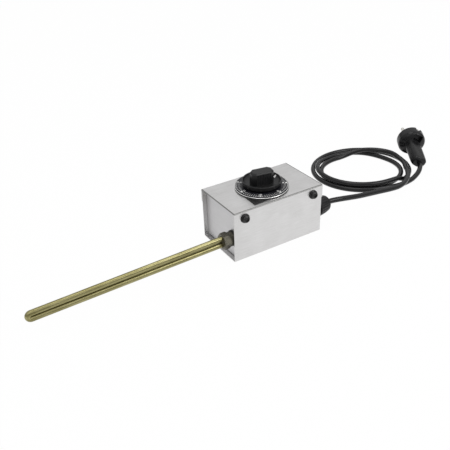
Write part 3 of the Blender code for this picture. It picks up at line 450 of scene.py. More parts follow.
def newObject(name, shape, look, place=None):
    # place turns a shape built about its own Z into the frame
    mesh = bpy.data.meshes.new(name)
    if place is not None:
        bmesh.ops.transform(shape, matrix=place, verts=shape.verts)
    shape.to_mesh(mesh)
    shape.free()
    mesh.materials.append(look)
    thing = bpy.data.objects.new(name, mesh)
    scene.collection.objects.link(thing)
    return thing


def settled(thing):
    # the object with its modifiers turned into plain mesh
    bpy.context.view_layer.update()
    graph = bpy.context.evaluated_depsgraph_get()
    mesh = bpy.data.meshes.new_from_object(thing.evaluated_get(graph))
    old = thing.data
    thing.modifiers.clear()
    thing.data = mesh
    mesh.name = thing.name
    bpy.data.meshes.remove(old)
    return thing


def edged(thing, width, segments=2, angle=30):
    step = thing.modifiers.new("edges", "BEVEL")
    step.width = width * mm
    step.segments = segments
    step.limit_method = "ANGLE"
    step.angle_limit = math.radians(angle)
    return settled(thing)


def combined(thing, tool, operation="DIFFERENCE"):
    step = thing.modifiers.new("cut", "BOOLEAN")
    step.operation = operation
    step.solver = "EXACT"
    step.object = tool
    settled(thing)
    bpy.data.objects.remove(tool, do_unlink=True)
    return thing


def drilled(thing, holes):
    # holes are (centre, axis, radius, length)
    for centre, axis, radius, length in holes:
        end = length / 2
        shape = turnedShape([(0, end), (radius, end), (radius, -end), (0, -end)], 48)
        combined(thing, newObject("drill", shape, thing.data.materials[0], aimed(centre, axis)))
    return thing


def aimed(centre, axis):
    # a frame at centre whose Z is axis
    way = Vector(axis).normalized()
    return Matrix.Translation(Vector(centre) * mm) @ way.to_track_quat("Z", "Y").to_matrix().to_4x4()


def shown(thing, body, nodes=(), smooth=35, flats=False):
    # shades a piece, rides it and hides the CAD nodes it stands for; flats keeps its flat faces evenly lit
    thing.data.shade_smooth()
    thing.data.set_sharp_from_angle(angle=math.radians(smooth))
    if flats:
        step = thing.modifiers.new("flats", "WEIGHTED_NORMAL")
        step.keep_sharp = True
        settled(thing)
    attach(thing, body)
    if nodes:
        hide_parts(*nodes)
    return thing


# The lead, the coil and the tail are one unbroken cord.

cord = {
    "radius": 3.3,
    "floorGap": 0.1,
    "exit": (79.2, -23.4, 27.0),
    "sides": 28,
    "step": 3.0,
    "pointsPerTurn": 96,
    "centre": (206.6, 54.6),
    "meanRadius": 59.4,
    "oval": 2.9,
    "ovalAngle": -9.0,
    "tightStep": 3.85,
    "fanStep": 5.8,
    "fanAngle": 55.0,
    "fanHalfWidth": 150.0,
    "pileWide": 8.8,
    "pileNarrow": 5.0,
    "strandGap": 0.7,
    "startTurn": -0.10,
    "endTurn": 2.70,
    "firstLap": 0.6,
    "firstInwards": (-0.01, 0.17),
    "secondInwards": (1.0, 1.17),
    "thirdInwards": (1.74, 1.85),
    "hopRoom": 0.6,
    "hopUp": (-0.14, 0.02),
    "hopDown": (0.12, 0.25),
    "pileUp": (1.1, 1.2),
    "pileDown": (1.85, 1.95),
    "lead": [(97.6, -25.0, 26.2), (113.7, -25.6, 23.6), (130.5, -25.4, 20.6), (148.9, -24.4, 17.6),
             (166.4, -23.9, 15.1), (184.2, -23.8, 12.8), (199.3, -23.2, 11.4), (211.5, -20.2, 11.0),
             (223.7, -14.4, 10.9), (235.4, -5.8, 10.8), (246.4, 5.6, 10.5)],
    "tail": [(212.0, -9.8, 3.4), (225.8, -10.6, 3.5), (240.0, -8.9, 3.9), (249.6, -6.2, 4.9),
             (257.8, -3.2, 6.4), (265.0, 0.8, 7.8)],
}
plug = {
    "centre": (307.3, 59.0, 20.0),
    "azimuth": 56.7,
    "elevation": 10.2,
    "roll": 30.0,
    "radius": 19.3,
    "face": 8.0,
    "back": 13.0,
    "length": 56.0,
    "gripWidth": 20.0,
    "gripThickness": 15.6,
    "pinRadius": 2.4,
    "pinDistance": 9.5,
    "pinLength": 19.0,
    "pinSeat": 5.5,
    "clipWidth": 8.0,
    "clipThickness": 1.2,
    "clipLength": 9.0,
    "clipSink": 2.2,
    "hollowHalf": 6.5,
}


def smoothRun(route, step):
    # points along a Catmull-Rom curve through the route
    knots = [2 * Vector(route[0]) - Vector(route[1])] + [Vector(p) for p in route]
    knots.append(2 * knots[-1] - knots[-2])
    points = []
    for a, b, c, d in zip(knots, knots[1:], knots[2:], knots[3:]):
        count = max(1, round((c - b).length / step))
        for i in range(count):
            t = i / count
            points.append(0.5 * (2 * b + (c - a) * t + (2 * a - 5 * b + 4 * c - d) * t ** 2
                                 + (3 * b - a - 3 * c + d) * t ** 3))
    points.append(knots[-2])
    return points


def ease(value, low, high):
    share = min(max((value - low) / (high - low), 0.0), 1.0)
    return share * share * (3 - 2 * share)


def coilPoint(c, turn):
    # strands lie piled on the near side and fan out on the far side
    angle = 360 * turn
    fan = ((angle - c["fanAngle"] + 180) % 360 - 180) / c["fanHalfWidth"]
    step = c["tightStep"]
    if abs(fan) < 1:
        step += c["fanStep"] * math.cos(math.pi / 2 * fan) ** 2
    strand = 2 * c["radius"] + c["strandGap"]
    onPile = math.sqrt(strand ** 2 - c["tightStep"] ** 2)
    if turn < c["firstLap"]:
        inwards = ease(turn, *c["firstInwards"])
        place = -inwards
        lift = onPile * ease(step, c["pileWide"], c["pileNarrow"]) * (1 - inwards)
        hop = (strand + c["hopRoom"]) * ease(turn, *c["hopUp"]) * (1 - ease(turn, *c["hopDown"]))
        lift = max(lift, hop, onPile if turn < 0 else 0.0)
    else:
        place = ease(turn, *c["secondInwards"]) + ease(turn, *c["thirdInwards"]) - 1
        room = step * (1 + max(place, 0.0))
        lift = onPile * ease(room, c["pileWide"], c["pileNarrow"])
        lift *= ease(turn, *c["pileUp"]) * (1 - ease(turn, *c["pileDown"]))
    radius = c["meanRadius"] + c["oval"] * math.cos(math.radians(2 * (angle - c["ovalAngle"]))) + place * step
    heading = math.radians(angle)
    return Vector((c["centre"][0] + radius * math.cos(heading), c["centre"][1] + radius * math.sin(heading),
                   c["radius"] + c["floorGap"] + lift))


def plugWay(p):
    azimuth = math.radians(p["azimuth"])
    elevation = math.radians(p["elevation"])
    return Vector((math.cos(azimuth) * math.cos(elevation), math.sin(azimuth) * math.cos(elevation),
                   math.sin(elevation)))


def cordRun(c, p):
    span = c["endTurn"] - c["startTurn"]
    count = round(span * c["pointsPerTurn"])
    coil = [coilPoint(c, c["startTurn"] + span * i / count) for i in range(count + 1)]
    straight = 2 * c["radius"]
    startWay = (coil[1] - coil[0]).normalized()
    endWay = (coil[-1] - coil[-2]).normalized()
    exit = Vector(c["exit"])
    lead = smoothRun([exit, exit + Vector((straight, 0, 0)), *c["lead"],
                      coil[0] - startWay * straight, coil[0]], c["step"])
    way = plugWay(p)
    boot = Vector(p["centre"]) - way * p["length"]
    tail = smoothRun([coil[-1], coil[-1] + endWay * straight, *c["tail"],
                      boot - way * straight, boot], c["step"])
    return lead[:-1] + coil + tail[1:]


cordPoints = cordRun(cord, plug)
cordLength = sum((b - a).length for a, b in zip(cordPoints, cordPoints[1:])) * mm
mainsCord = newObject("mainsCord", tubeShape(cordPoints, cord["radius"], cord["sides"]), looks["cord"])
shown(mainsCord, "cabinet", ("cord_lead", "cord_coil", "cord_tail"))
print("cord made:", round(cordLength, 3), "m")


# The plug.

def plugPlace(p):
    # the plug's own frame: +Z towards the pins, X across them
    way = plugWay(p)
    side = Vector((-way.y, way.x, 0.0)).normalized()
    upright = way.cross(side)
    if upright.z < 0:
        upright = -upright
    roll = math.radians(p["roll"])
    across = side * math.cos(roll) + upright * math.sin(roll)
    turn = Matrix((across, way.cross(across), way)).transposed().to_4x4()
    return Matrix.Translation(Vector(p["centre"]) * mm) @ turn


def roundedRing(halfX, halfY, corner, z, count=64):
    # a rounded rectangle at height z; the nearer corner is to 1, the rounder it is
    power = 2 + 6 * (1 - corner)
    ring = []
    for i in range(count):
        t = 2 * math.pi * i / count
        heading = math.atan2(halfY * math.sin(t), halfX * math.cos(t))
        alongX = abs(math.cos(heading) / halfX) ** power
        alongY = abs(math.sin(heading) / halfY) ** power
        r = (alongX + alongY) ** (-1 / power)
        ring.append((r * math.cos(heading), r * math.sin(heading), z))
    return ring


def makePlug(p):
    place = plugPlace(p)
    wide, face, back = p["radius"], p["face"], p["back"]
    profile = softened([(0, face), (wide * 0.93, face), (wide, face - 1.4), (wide, -back * 0.4),
                        (wide * 0.9, -back * 0.68), (wide * 0.66, -back * 0.9),
                        (wide * 0.5, -back), (0, -back)], 1.2)
    moulding = newObject("plugMoulding", turnedShape(profile, 112), looks["plug"])
    halfX, halfY = p["gripWidth"] / 2, p["gripThickness"] / 2
    rings = []
    gripEnd = -p["length"]
    for z, grow, corner in ((gripEnd, 0.80, 0.9), (gripEnd + 0.5, 0.90, 0.85), (gripEnd + 1.6, 0.96, 0.8),
                            (gripEnd + 6, 0.99, 0.7), (-40, 1.0, 0.65), (-28, 1.0, 0.6), (-18, 1.0, 0.6),
                            (-back * 0.5, 1.0, 0.6)):
        rings.append(roundedRing(halfX * grow, halfY * grow, corner, z))
    grip = newObject("plugGrip", loftedShape(rings), looks["plug"])
    combined(moulding, grip, "UNION")
    for sign in (1, -1):
        x = sign * p["pinDistance"]
        drilled(moulding, [((x, 0, face - p["pinSeat"] / 2 + 0.4), (0, 0, 1), p["pinRadius"] + 0.3,
                            p["pinSeat"] + 1.4)])
        first, last = sorted((sign * (halfY + 0.5), sign * (wide * 0.86)))
        hollow = boxShape((-p["hollowHalf"], first, -back - 4), (p["hollowHalf"], last, -back * 0.35))
        combined(moulding, newObject("hollow", hollow, looks["plug"]))
        outer = wide - p["clipSink"]
        inner = outer - p["clipThickness"] - 0.3
        half = p["clipWidth"] / 2 + 0.3
        first, last = sorted((sign * inner, sign * (wide + 2)))
        groove = boxShape((-half, first, face - p["clipLength"] - 0.3), (half, last, face + 1))
        combined(moulding, newObject("groove", groove, looks["plug"]))
    edged(moulding, 0.35, 2, 40)
    moulding.data.transform(place)
    shown(moulding, "cabinet", ("plug_body",), 40)
    made = [moulding]
    for name, sign in (("a", 1), ("b", -1)):
        radius, foot, tip = p["pinRadius"], face - p["pinSeat"], face + p["pinLength"]
        outline = softened([(0, tip), (radius * 0.6, tip - 0.2), (radius, tip - 1.8), (radius, face + 10),
                            (radius * 0.93, face + 9.6), (radius * 0.93, foot), (0, foot)], 0.5)
        pin = newObject("plugPin" + name.upper(), turnedShape(outline, 48), looks["nickel"],
                        place @ Matrix.Translation((sign * p["pinDistance"] * mm, 0, 0)))
        made.append(shown(pin, "cabinet", ("plug_pin_" + name,)))
    outer = wide - p["clipSink"]
    inner = outer - p["clipThickness"]
    low = face - p["clipLength"]
    half = p["clipWidth"] / 2
    high = face - 0.3
    bend = low + p["clipThickness"]
    section = softened([(-outer, high), (-outer, low), (outer, low), (outer, high),
                        (inner, high), (inner, bend), (-inner, bend), (-inner, high)], 0.3, 2, closed=True)
    clip = newObject("plugEarthClip", extrudedShape(section, -half, half), looks["nickel"])
    edged(clip, 0.15)
    clip.data.transform(place)
    made.append(shown(clip, "cabinet", ("plug_earth_clip",)))
    return made


plugPieces = makePlug(plug)
[tuple(p * mm) for p in cordPoints]
print("plug made")


# The sheet-metal box.

box = {
    "length": 120.0,
    "depth": 72.0,
    "height": 62.5,
    "sheet": 1.0,
    "bend": 1.6,
    "flange": 16.0,
    "endRecess": 5.0,
    "endFoot": 5.0,
    "gap": 0.3,
    "screwX": 46.3,
    "screwZ": 53.6,
    "screwHole": 2.8,
    "spindleHole": 5.3,
    "thermostatScrewX": 14.0,
    "thermostatScrewHole": 2.15,
    "earthStudY": -24.5,
    "earthStudHole": 1.9,
    "elementHole": (-24.0, 25.6, 8.1),
    "cordHole": (-23.4, 27.0, 7.7),
    "drill": 6.0,
    "edge": 0.12,
}


def bentOutline(corners, thick, radius, steps=7):
    # the closed section of a bent sheet; corners run along its outer face, with the metal to their left
    outer, inner = [], []
    spots = [Vector(c) for c in corners]
    for i, spot in enumerate(spots):
        before = (spot - spots[i - 1]).normalized() if i > 0 else None
        after = (spots[i + 1] - spot).normalized() if i < len(spots) - 1 else None
        if before is None or after is None:
            way = after if before is None else before
            left = Vector((-way.y, way.x))
            outer.append(spot)
            inner.append(spot + left * thick)
            continue
        leftBefore = Vector((-before.y, before.x))
        leftAfter = Vector((-after.y, after.x))
        hub = spot + (leftBefore + leftAfter) * radius
        for k in range(steps + 1):
            angle = math.pi / 2 * k / steps
            way = -leftBefore * math.cos(angle) + before * math.sin(angle)
            outer.append(hub + way * radius)
            inner.append(hub + way * (radius - thick))
    return [(p.x, p.y) for p in outer + inner[::-1]]


def makeBox(b):
    half, length = b["depth"] / 2, b["length"] / 2
    wall = half - b["sheet"] - b["gap"]
    top = b["height"] - b["sheet"] - b["gap"]
    section = bentOutline([(-wall, top), (-wall, 0), (wall, 0), (wall, top)], b["sheet"], b["bend"])
    body = newObject("boxBody", extrudedShape(section, -length, length), looks["sheetAlong"])
    foot = b["height"] - b["flange"]
    section = bentOutline([(half, foot), (half, b["height"]), (-half, b["height"]), (-half, foot)],
                          b["sheet"], b["bend"])
    lid = newObject("boxLid", extrudedShape(section, -length, length), looks["lidSheet"])
    for x in (-b["screwX"], b["screwX"]):
        for thing in (body, lid):
            drilled(thing, [((x, 0, b["screwZ"]), (0, 1, 0), b["screwHole"], b["depth"] + 4)])
    drilled(lid, [((0, 0, b["height"]), (0, 0, 1), b["spindleHole"], b["drill"])])
    for x in (-b["thermostatScrewX"], b["thermostatScrewX"]):
        drilled(lid, [((x, 0, b["height"]), (0, 0, 1), b["thermostatScrewHole"], b["drill"])])
    drilled(body, [((0, b["earthStudY"], 0), (0, 0, 1), b["earthStudHole"], b["drill"])])
    for thing, node in ((body, "housing_body"), (lid, "lid")):
        edged(thing, b["edge"], 2, 50)
        shown(thing, "cabinet", (node,), 25, flats=True)


def makeEndPlates(b):
    wall = b["depth"] / 2 - 2 * b["sheet"] - 2 * b["gap"]
    face = b["length"] / 2 - b["endRecess"]
    low, top = b["sheet"] + b["gap"], b["height"] - b["sheet"] - b["gap"]
    corners = [(face - b["endFoot"], low), (face, low), (face, top)]
    # each hole is (y, height, radius)
    for name, node, sign, hole in (("elementEndPlate", "element_end_plate", -1, b["elementHole"]),
                                   ("cordEndPlate", "cord_end_plate", 1, b["cordHole"])):
        section = bentOutline(corners, b["sheet"], b["bend"])
        plate = newObject(name, extrudedShape(section, -wall, wall), looks["sheetAcrossShaded"])
        plate.data.transform(Matrix.Rotation(math.radians(-90 * sign), 4, "Z"))
        drilled(plate, [((sign * face, hole[0], hole[1]), (1, 0, 0), hole[2], b["drill"])])
        edged(plate, b["edge"], 2, 50)
        shown(plate, "cabinet", (node,), 25, flats=True)


makeBox(box)
makeEndPlates(box)
print("box made")


# Repeats, made by node trees.

def newTree(name, inputs):
    # a tree with the named inputs; gives the tree, its input node and its output node
    tree = bpy.data.node_groups.new(name, "GeometryNodeTree")
    kinds = {int: "NodeSocketInt", float: "NodeSocketFloat", "geometry": "NodeSocketGeometry",
             "material": "NodeSocketMaterial"}
    for label, kind in inputs:
        tree.interface.new_socket(label, in_out="INPUT", socket_type=kinds[kind])
    tree.interface.new_socket("Geometry", in_out="OUTPUT", socket_type="NodeSocketGeometry")
    return tree, tree.nodes.new("NodeGroupInput"), tree.nodes.new("NodeGroupOutput")


def treeNode(tree, kind, links, settings=None):
    made = tree.nodes.new(kind)
    for key, value in (settings or {}).items():
        setattr(made, key, value)
    for key, value in links.items():
        if hasattr(value, "is_linked"):
            tree.links.new(value, made.inputs[key])
        else:
            made.inputs[key].default_value = value
    return made


def dressedTree(tree, copies, given, result):
    # ends a tree: its copies made real, given their material and sent out
    real = treeNode(tree, "GeometryNodeRealizeInstances", {0: copies.outputs[0]})
    dressed = treeNode(tree, "GeometryNodeSetMaterial", {"Geometry": real.outputs[0],
                                                         "Material": given.outputs["Material"]})
    tree.links.new(dressed.outputs[0], result.inputs[0])
    return tree


def roundTree():
    # copies of the piece's own mesh, turned about Z at equal steps
    tree, given, result = newTree("copies round an axis", [
        ("Geometry", "geometry"), ("Count", int), ("First", float), ("Step", float), ("Gap every", float),
        ("Gap from", float), ("Material", "material")])
    points = treeNode(tree, "GeometryNodePoints", {"Count": given.outputs["Count"]})
    index = tree.nodes.new("GeometryNodeInputIndex")
    place = treeNode(tree, "ShaderNodeMath", {0: index.outputs[0], 1: given.outputs["Gap from"]})
    kept = treeNode(tree, "ShaderNodeMath", {0: place.outputs[0], 1: given.outputs["Gap every"]},
                    {"operation": "MODULO"})
    turn = treeNode(tree, "ShaderNodeMath", {0: index.outputs[0], 1: given.outputs["Step"],
                                             2: given.outputs["First"]}, {"operation": "MULTIPLY_ADD"})
    spin = treeNode(tree, "ShaderNodeCombineXYZ", {"Z": turn.outputs[0]})
    copies = treeNode(tree, "GeometryNodeInstanceOnPoints", {
        "Points": points.outputs[0], "Instance": given.outputs["Geometry"], "Rotation": spin.outputs[0],
        "Selection": kept.outputs[0]})
    return dressedTree(tree, copies, given, result)


def cornerTree():
    # the piece's own mesh, built about Z, at the four corners of the box, facing front and back
    tree, given, result = newTree("fasteners at four corners", [
        ("Geometry", "geometry"), ("Across", float), ("Apart", float), ("Turn", float), ("Seed", int),
        ("Material", "material")])
    grid = treeNode(tree, "GeometryNodeMeshGrid", {"Size X": given.outputs["Across"],
                                                   "Size Y": given.outputs["Apart"], "Vertices X": 2,
                                                   "Vertices Y": 2})
    place = tree.nodes.new("GeometryNodeInputPosition")
    spot = treeNode(tree, "ShaderNodeSeparateXYZ", {0: place.outputs[0]})
    side = treeNode(tree, "ShaderNodeMath", {0: spot.outputs["Y"]}, {"operation": "SIGN"})
    lean = treeNode(tree, "ShaderNodeMath", {0: side.outputs[0], 1: -math.pi / 2}, {"operation": "MULTIPLY"})
    face = treeNode(tree, "ShaderNodeCombineXYZ", {"X": lean.outputs[0]})
    chance = treeNode(tree, "FunctionNodeRandomValue", {"Seed": given.outputs["Seed"]},
                      {"data_type": "FLOAT"})
    amount = treeNode(tree, "ShaderNodeMath", {0: chance.outputs[1], 1: given.outputs["Turn"]},
                      {"operation": "MULTIPLY"})
    spin = treeNode(tree, "ShaderNodeCombineXYZ", {"Z": amount.outputs[0]})
    copies = treeNode(tree, "GeometryNodeInstanceOnPoints", {
        "Points": grid.outputs[0], "Instance": given.outputs["Geometry"], "Rotation": face.outputs[0]})
    turned = treeNode(tree, "GeometryNodeRotateInstances", {"Instances": copies.outputs[0],
                                                            "Rotation": spin.outputs[0]})
    return dressedTree(tree, turned, given, result)


def grown(thing, tree, values):
    # runs a tree on a piece and keeps the plain mesh
    step = thing.modifiers.new("copies", "NODES")
    step.node_group = tree
    for item in tree.interface.items_tree:
        if item.in_out == "INPUT" and item.name in values:
            step[item.identifier] = values[item.name]
    return settled(thing)


copiesRound = roundTree()
copiesAtCorners = cornerTree()

screws = {
    "x": 46.3,
    "z": 53.6,
    "washerBase": 36.3,
    "washerRadius": 5.4,
    "washerHeight": 1.6,
    "bore": 2.8,
    "headBase": 38.2,
    "headRadius": 4.4,
    "headHeight": 2.7,
    "socketRadius": 2.35,
    "socketDepth": 1.7,
    "shankRadius": 2.5,
    "shankLength": 9.3,
    "turn": 1.05,
    "seed": 4,
}


def makeScrews(s):
    head, top = s["headRadius"], s["headHeight"]
    outline = softened([(0, top), (head * 0.55, top * 0.985), (head * 0.82, top * 0.75), (head, top * 0.3),
                        (head, 0), (s["shankRadius"], 0), (s["shankRadius"], -s["shankLength"]),
                        (0, -s["shankLength"])], 0.4)
    screw = newObject("lidScrews", turnedShape(outline, 64), looks["blackScrew"])
    socketFloor = top - s["socketDepth"]
    hexagon = turnedShape([(0, top + 1), (s["socketRadius"], top + 1), (s["socketRadius"], socketFloor),
                           (0, socketFloor - 0.5)], 6)
    combined(screw, newObject("socket", hexagon, looks["blackScrew"]))
    edged(screw, 0.1, 2, 40)
    wide, rise = s["washerRadius"], s["washerHeight"]
    ring = softened([(s["bore"], rise * 0.62), (s["bore"] + 1.2, rise * 0.9), (wide * 0.84, rise),
                     (wide, rise * 0.45), (wide, 0), (s["bore"], 0)], 0.35, closed=True)
    washer = newObject("cupWashers", turnedShape(ring, 64, closed=True), looks["blackWasher"])
    corners = ("front_left", "front_right", "back_left", "back_right")
    for thing, base, node, turn, look in ((screw, s["headBase"], "lid_screw_", s["turn"], "blackScrew"),
                                          (washer, s["washerBase"], "cup_washer_", 0.0, "blackWasher")):
        grown(thing, copiesAtCorners, {"Across": 2 * s["x"] * mm, "Apart": 2 * base * mm, "Turn": turn,
                                       "Seed": s["seed"], "Material": looks[look]})
        thing.data.transform(Matrix.Translation((0, 0, s["z"] * mm)))
        shown(thing, "cabinet", [node + c for c in corners])


makeScrews(screws)
print("lid screws made")


# The element and its bush.

element = {
    "radius": 3.1,
    "y": -24.0,
    "height": 25.6,
    "halfSpacing": 3.8,
    "tipHalfSpacing": 3.3,
    "tipX": -288.0,
    "droop": 0.0245,
    "hexFront": -70.0,
    "hexBack": -62.2,
    "collarBack": -57.0,
    "stemEnd": -49.5,
    "legEnd": -49.0,
    "bendSteps": 24,
    "hexRadius": 9.8,
    "collarRadius": 8.4,
    "stemRadius": 7.8,
    "sides": 36,
    "step": 4.0,
}


def legHeight(e, x, side):
    # level inside the bush, then drooping and closing towards the tip
    run = max(0.0, e["hexFront"] - x)
    share = run / (e["hexFront"] - e["tipX"])
    half = e["halfSpacing"] + (e["tipHalfSpacing"] - e["halfSpacing"]) * share
    return e["height"] - e["droop"] * run + side * half


def makeElement(e):
    bendX = e["tipX"] + e["radius"] + e["tipHalfSpacing"]
    count = round((e["legEnd"] - bendX) / e["step"])
    stations = [e["legEnd"] + (bendX - e["legEnd"]) * i / count for i in range(count + 1)]
    points = [(x, e["y"], legHeight(e, x, 1)) for x in stations]
    middle = legHeight(e, bendX, 0)
    radius = legHeight(e, bendX, 1) - middle
    for i in range(1, e["bendSteps"]):
        angle = math.pi / 2 + math.pi * i / e["bendSteps"]
        points.append((bendX + radius * math.cos(angle), e["y"], middle + radius * math.sin(angle)))
    points += [(x, e["y"], legHeight(e, x, -1)) for x in reversed(stations)]
    sheath = newObject("elementSheath", tubeShape(points, e["radius"], e["sides"]), looks["element"])
    shown(sheath, "cabinet", ("heating_element",))


def makeBush(e):
    # hexagon with turned-off corners, then its collar and stem
    front, back = e["hexFront"], e["hexBack"]
    place = aimed((0, e["y"], e["height"]), (1, 0, 0))
    wide = e["hexRadius"]
    hexagon = turnedShape([(0, front), (wide, front), (wide, back), (0, back)], 6)
    bush = newObject("elementBush", hexagon, looks["bush"])
    turnedOff = softened([(0, front), (wide * 0.88, front), (wide * 1.02, front + 1.4),
                          (wide * 1.02, back - 1.2), (wide * 0.9, back), (0, back)], 0.3)
    combined(bush, newObject("turnedOff", turnedShape(turnedOff, 96), looks["bush"]), "INTERSECT")
    neck = softened([(0, back - 1), (e["collarRadius"], back - 1), (e["collarRadius"], e["collarBack"]),
                     (e["stemRadius"], e["collarBack"]), (e["stemRadius"], e["stemEnd"]),
                     (0, e["stemEnd"])], 0.25)
    combined(bush, newObject("neck", turnedShape(neck, 96), looks["bush"]), "UNION")
    bush.data.transform(place)
    for side in (1, -1):
        leg = (front, e["y"], e["height"] + side * e["halfSpacing"])
        drilled(bush, [(leg, (1, 0, 0), e["radius"] + 0.1, 60)])
    edged(bush, 0.25, 2, 35)
    shown(bush, "cabinet", ("element_bush",))


makeElement(element)
makeBush(element)
print("element made")


# The dial.

dial = {
    "knobBase": 65.9,
    "rimRadius": 22.7,
    "rimFootRadius": 21.9,
    "rimLift": 1.3,
    "rimHeight": 6.6,
    "rimWidth": 1.3,
    "dishRadius": 16.0,
    "dishHeight": 2.2,
    "footRadius": 20.0,
    "hubRadius": 4.7,
    "hubFoot": 63.8,
    "bore": 3.3,
    "boreTop": 77.6,
    "gripLength": 26.8,
    "gripWidth": 15.0,
    "gripCorner": 4.0,
    "gripHeight": 17.4,
    "gripBevel": 1.5,
    "gripDrop": 1.8,
    "gripSteps": 6,
    "gripAngle": -10.0,
    "fluteReach": 8.4,
    "flutePitch": 2.1,
    "fluteDepth": 0.42,
    "discRadius": 30.6,
    "discInner": 18.2,
    "discBase": 64.6,
    "discThickness": 1.0,
    "bezelInner": 22.0,
    "bezelOuter": 31.2,
    "bezelBase": 63.6,
    "bezelHeight": 0.7,
}
scale = {
    "firstAngle": 133.0,
    "numbers": (10, 15, 20, 25, 30, 35),
    "numberStep": 50.0,
    "numberRadius": 25.0,
    "numberSize": 3.2,
    "numberBold": 0.06,
    "ticksPerNumber": 10,
    # each row: name, inner and outer radius, width, every nth place, gap every, gap from
    "rows": [("scaleTicks", 25.4, 27.6, 0.26, 1, 10, 0), ("scaleSquares", 29.0, 30.2, 0.8, 1, 1000, 1),
             ("scaleLongTicks", 27.2, 30.2, 1.9, 10, 1000, 1)],
    "dishLineFrom": 17.4,
    "dishLineTo": 21.3,
    "dishLineWidth": 2.6,
    "dishLineAngle": 5.0,
    "ink": 0.03,
}


def gripRing(d, z, inset, flutes):
    # the grip's plan at a height: cut corners, and flutes in the two long sides
    far, side = d["gripLength"] / 2 - inset, d["gripWidth"] / 2 - inset
    cut = d["gripCorner"] - inset * 0.6
    near, flank = far - cut, side - cut
    plan = [(far, -flank), (far, flank), (near, side), (-near, side), (-far, flank), (-far, -flank),
            (-near, -side), (near, -side)]
    ring = []
    for i, (a, b) in enumerate(zip(plan, plan[1:] + plan[:1])):
        count = 96 if i in (2, 6) else 8
        a, b = Vector(a), Vector(b)
        for k in range(count):
            spot = a.lerp(b, k / count)
            if i in (2, 6):
                mask = 1 - ease(abs(spot.x), d["fluteReach"] - 0.4, d["fluteReach"])
                wave = 0.5 - 0.5 * math.cos(2 * math.pi * spot.x / d["flutePitch"])
                spot.y -= math.copysign(d["fluteDepth"] * mask * wave * flutes, spot.y)
            ring.append((spot.x, spot.y, z))
    return ring


def knobOutline(d):
    # the knob's turned body: dish, rim, skirt, foot and hub
    base = d["knobBase"]
    rim, foot, thick = d["rimRadius"], d["rimFootRadius"], d["rimWidth"]
    floor, top = base + d["dishHeight"], base + d["rimHeight"]
    inner = rim - thick
    slope, rise = inner - d["dishRadius"], top - floor
    return softened([
        (0, floor), (d["dishRadius"], floor), (d["dishRadius"] + slope * 0.55, floor + rise * 0.16),
        (d["dishRadius"] + slope * 0.88, floor + rise * 0.5), (inner, top - thick * 0.3),
        (inner + thick * 0.3, top), (inner + thick * 0.7, top), (rim, top - thick * 0.4),
        (foot, base + d["rimLift"]), (foot - thick, base + d["rimLift"]),
        (d["footRadius"], base), (d["hubRadius"], base),
        (d["hubRadius"], d["hubFoot"]), (0, d["hubFoot"])], 0.7)


def makeKnob(d):
    base = d["knobBase"]
    floor = base + d["dishHeight"]
    knob = newObject("dialKnob", turnedShape(knobOutline(d), 160), looks["knob"])
    crown = base + d["gripHeight"]
    rows = [(floor - 1.1, 0.0, 0.0), (floor + 0.6, 0.0, 0.0), (floor + 1.4, 0.0, 1.0),
            (crown - d["gripDrop"] - 1.0, 0.0, 1.0), (crown - d["gripDrop"] - 0.3, 0.02, 0.2)]
    for k in range(d["gripSteps"] + 1):
        share = k / d["gripSteps"]
        inset = d["gripBevel"] * (share * 0.75 + share ** 3 * 0.25)
        rows.append((crown - d["gripDrop"] * (1 - share), inset, 0.0))
    rows.append((crown, d["gripBevel"] + 0.35, 0.0))
    grip = newObject("grip", loftedShape([gripRing(d, *row) for row in rows]), looks["knob"])
    combined(knob, grip, "UNION")
    drilled(knob, [((0, 0, (d["hubFoot"] + d["boreTop"]) / 2 - 1), (0, 0, 1), d["bore"],
                    d["boreTop"] - d["hubFoot"] + 2)])
    knob.data.transform(Matrix.Rotation(math.radians(d["gripAngle"]), 4, "Z"))
    shown(knob, "knob", ("dial_knob",), 32)


def makeDisc(d):
    base, top, wide = d["discBase"], d["discBase"] + d["discThickness"], d["discRadius"]
    outline = softened([(d["discInner"], base), (d["discInner"], top), (wide - 0.35, top), (wide, top - 0.35),
                        (wide, base + 0.2), (wide - 0.2, base)], 0.15, 3, closed=True)
    disc = newObject("scaleDisc", turnedShape(outline, 192, closed=True), looks["disc"])
    shown(disc, "knob", ("scale_disc",))
    base, top = d["bezelBase"], d["bezelBase"] + d["bezelHeight"]
    outline = softened([(d["bezelInner"], base), (d["bezelInner"], top), (d["bezelOuter"] - 0.3, top),
                        (d["bezelOuter"], top - 0.3), (d["bezelOuter"], base)], 0.2, closed=True)
    ring = newObject("bezelRing", turnedShape(outline, 160, closed=True), looks["bezel"])
    shown(ring, "cabinet", ("bezel_ring",))


def makePointer(d, s):
    # a white line up the inside of the dish
    floor = d["knobBase"] + d["dishHeight"]
    path = [p for p in knobOutline(d) if s["dishLineFrom"] < p.x < s["dishLineTo"] and p.y > floor - 0.1]
    ring = [(p.x, p.y + s["ink"]) for p in path] + [(p.x, p.y - s["ink"]) for p in reversed(path)]
    half = s["dishLineWidth"] / 2
    line = newObject("dishLine", extrudedShape(ring, -half, half), looks["print"])
    line.data.transform(Matrix.Rotation(math.radians(s["dishLineAngle"] - 90), 4, "Z"))
    shown(line, "knob")


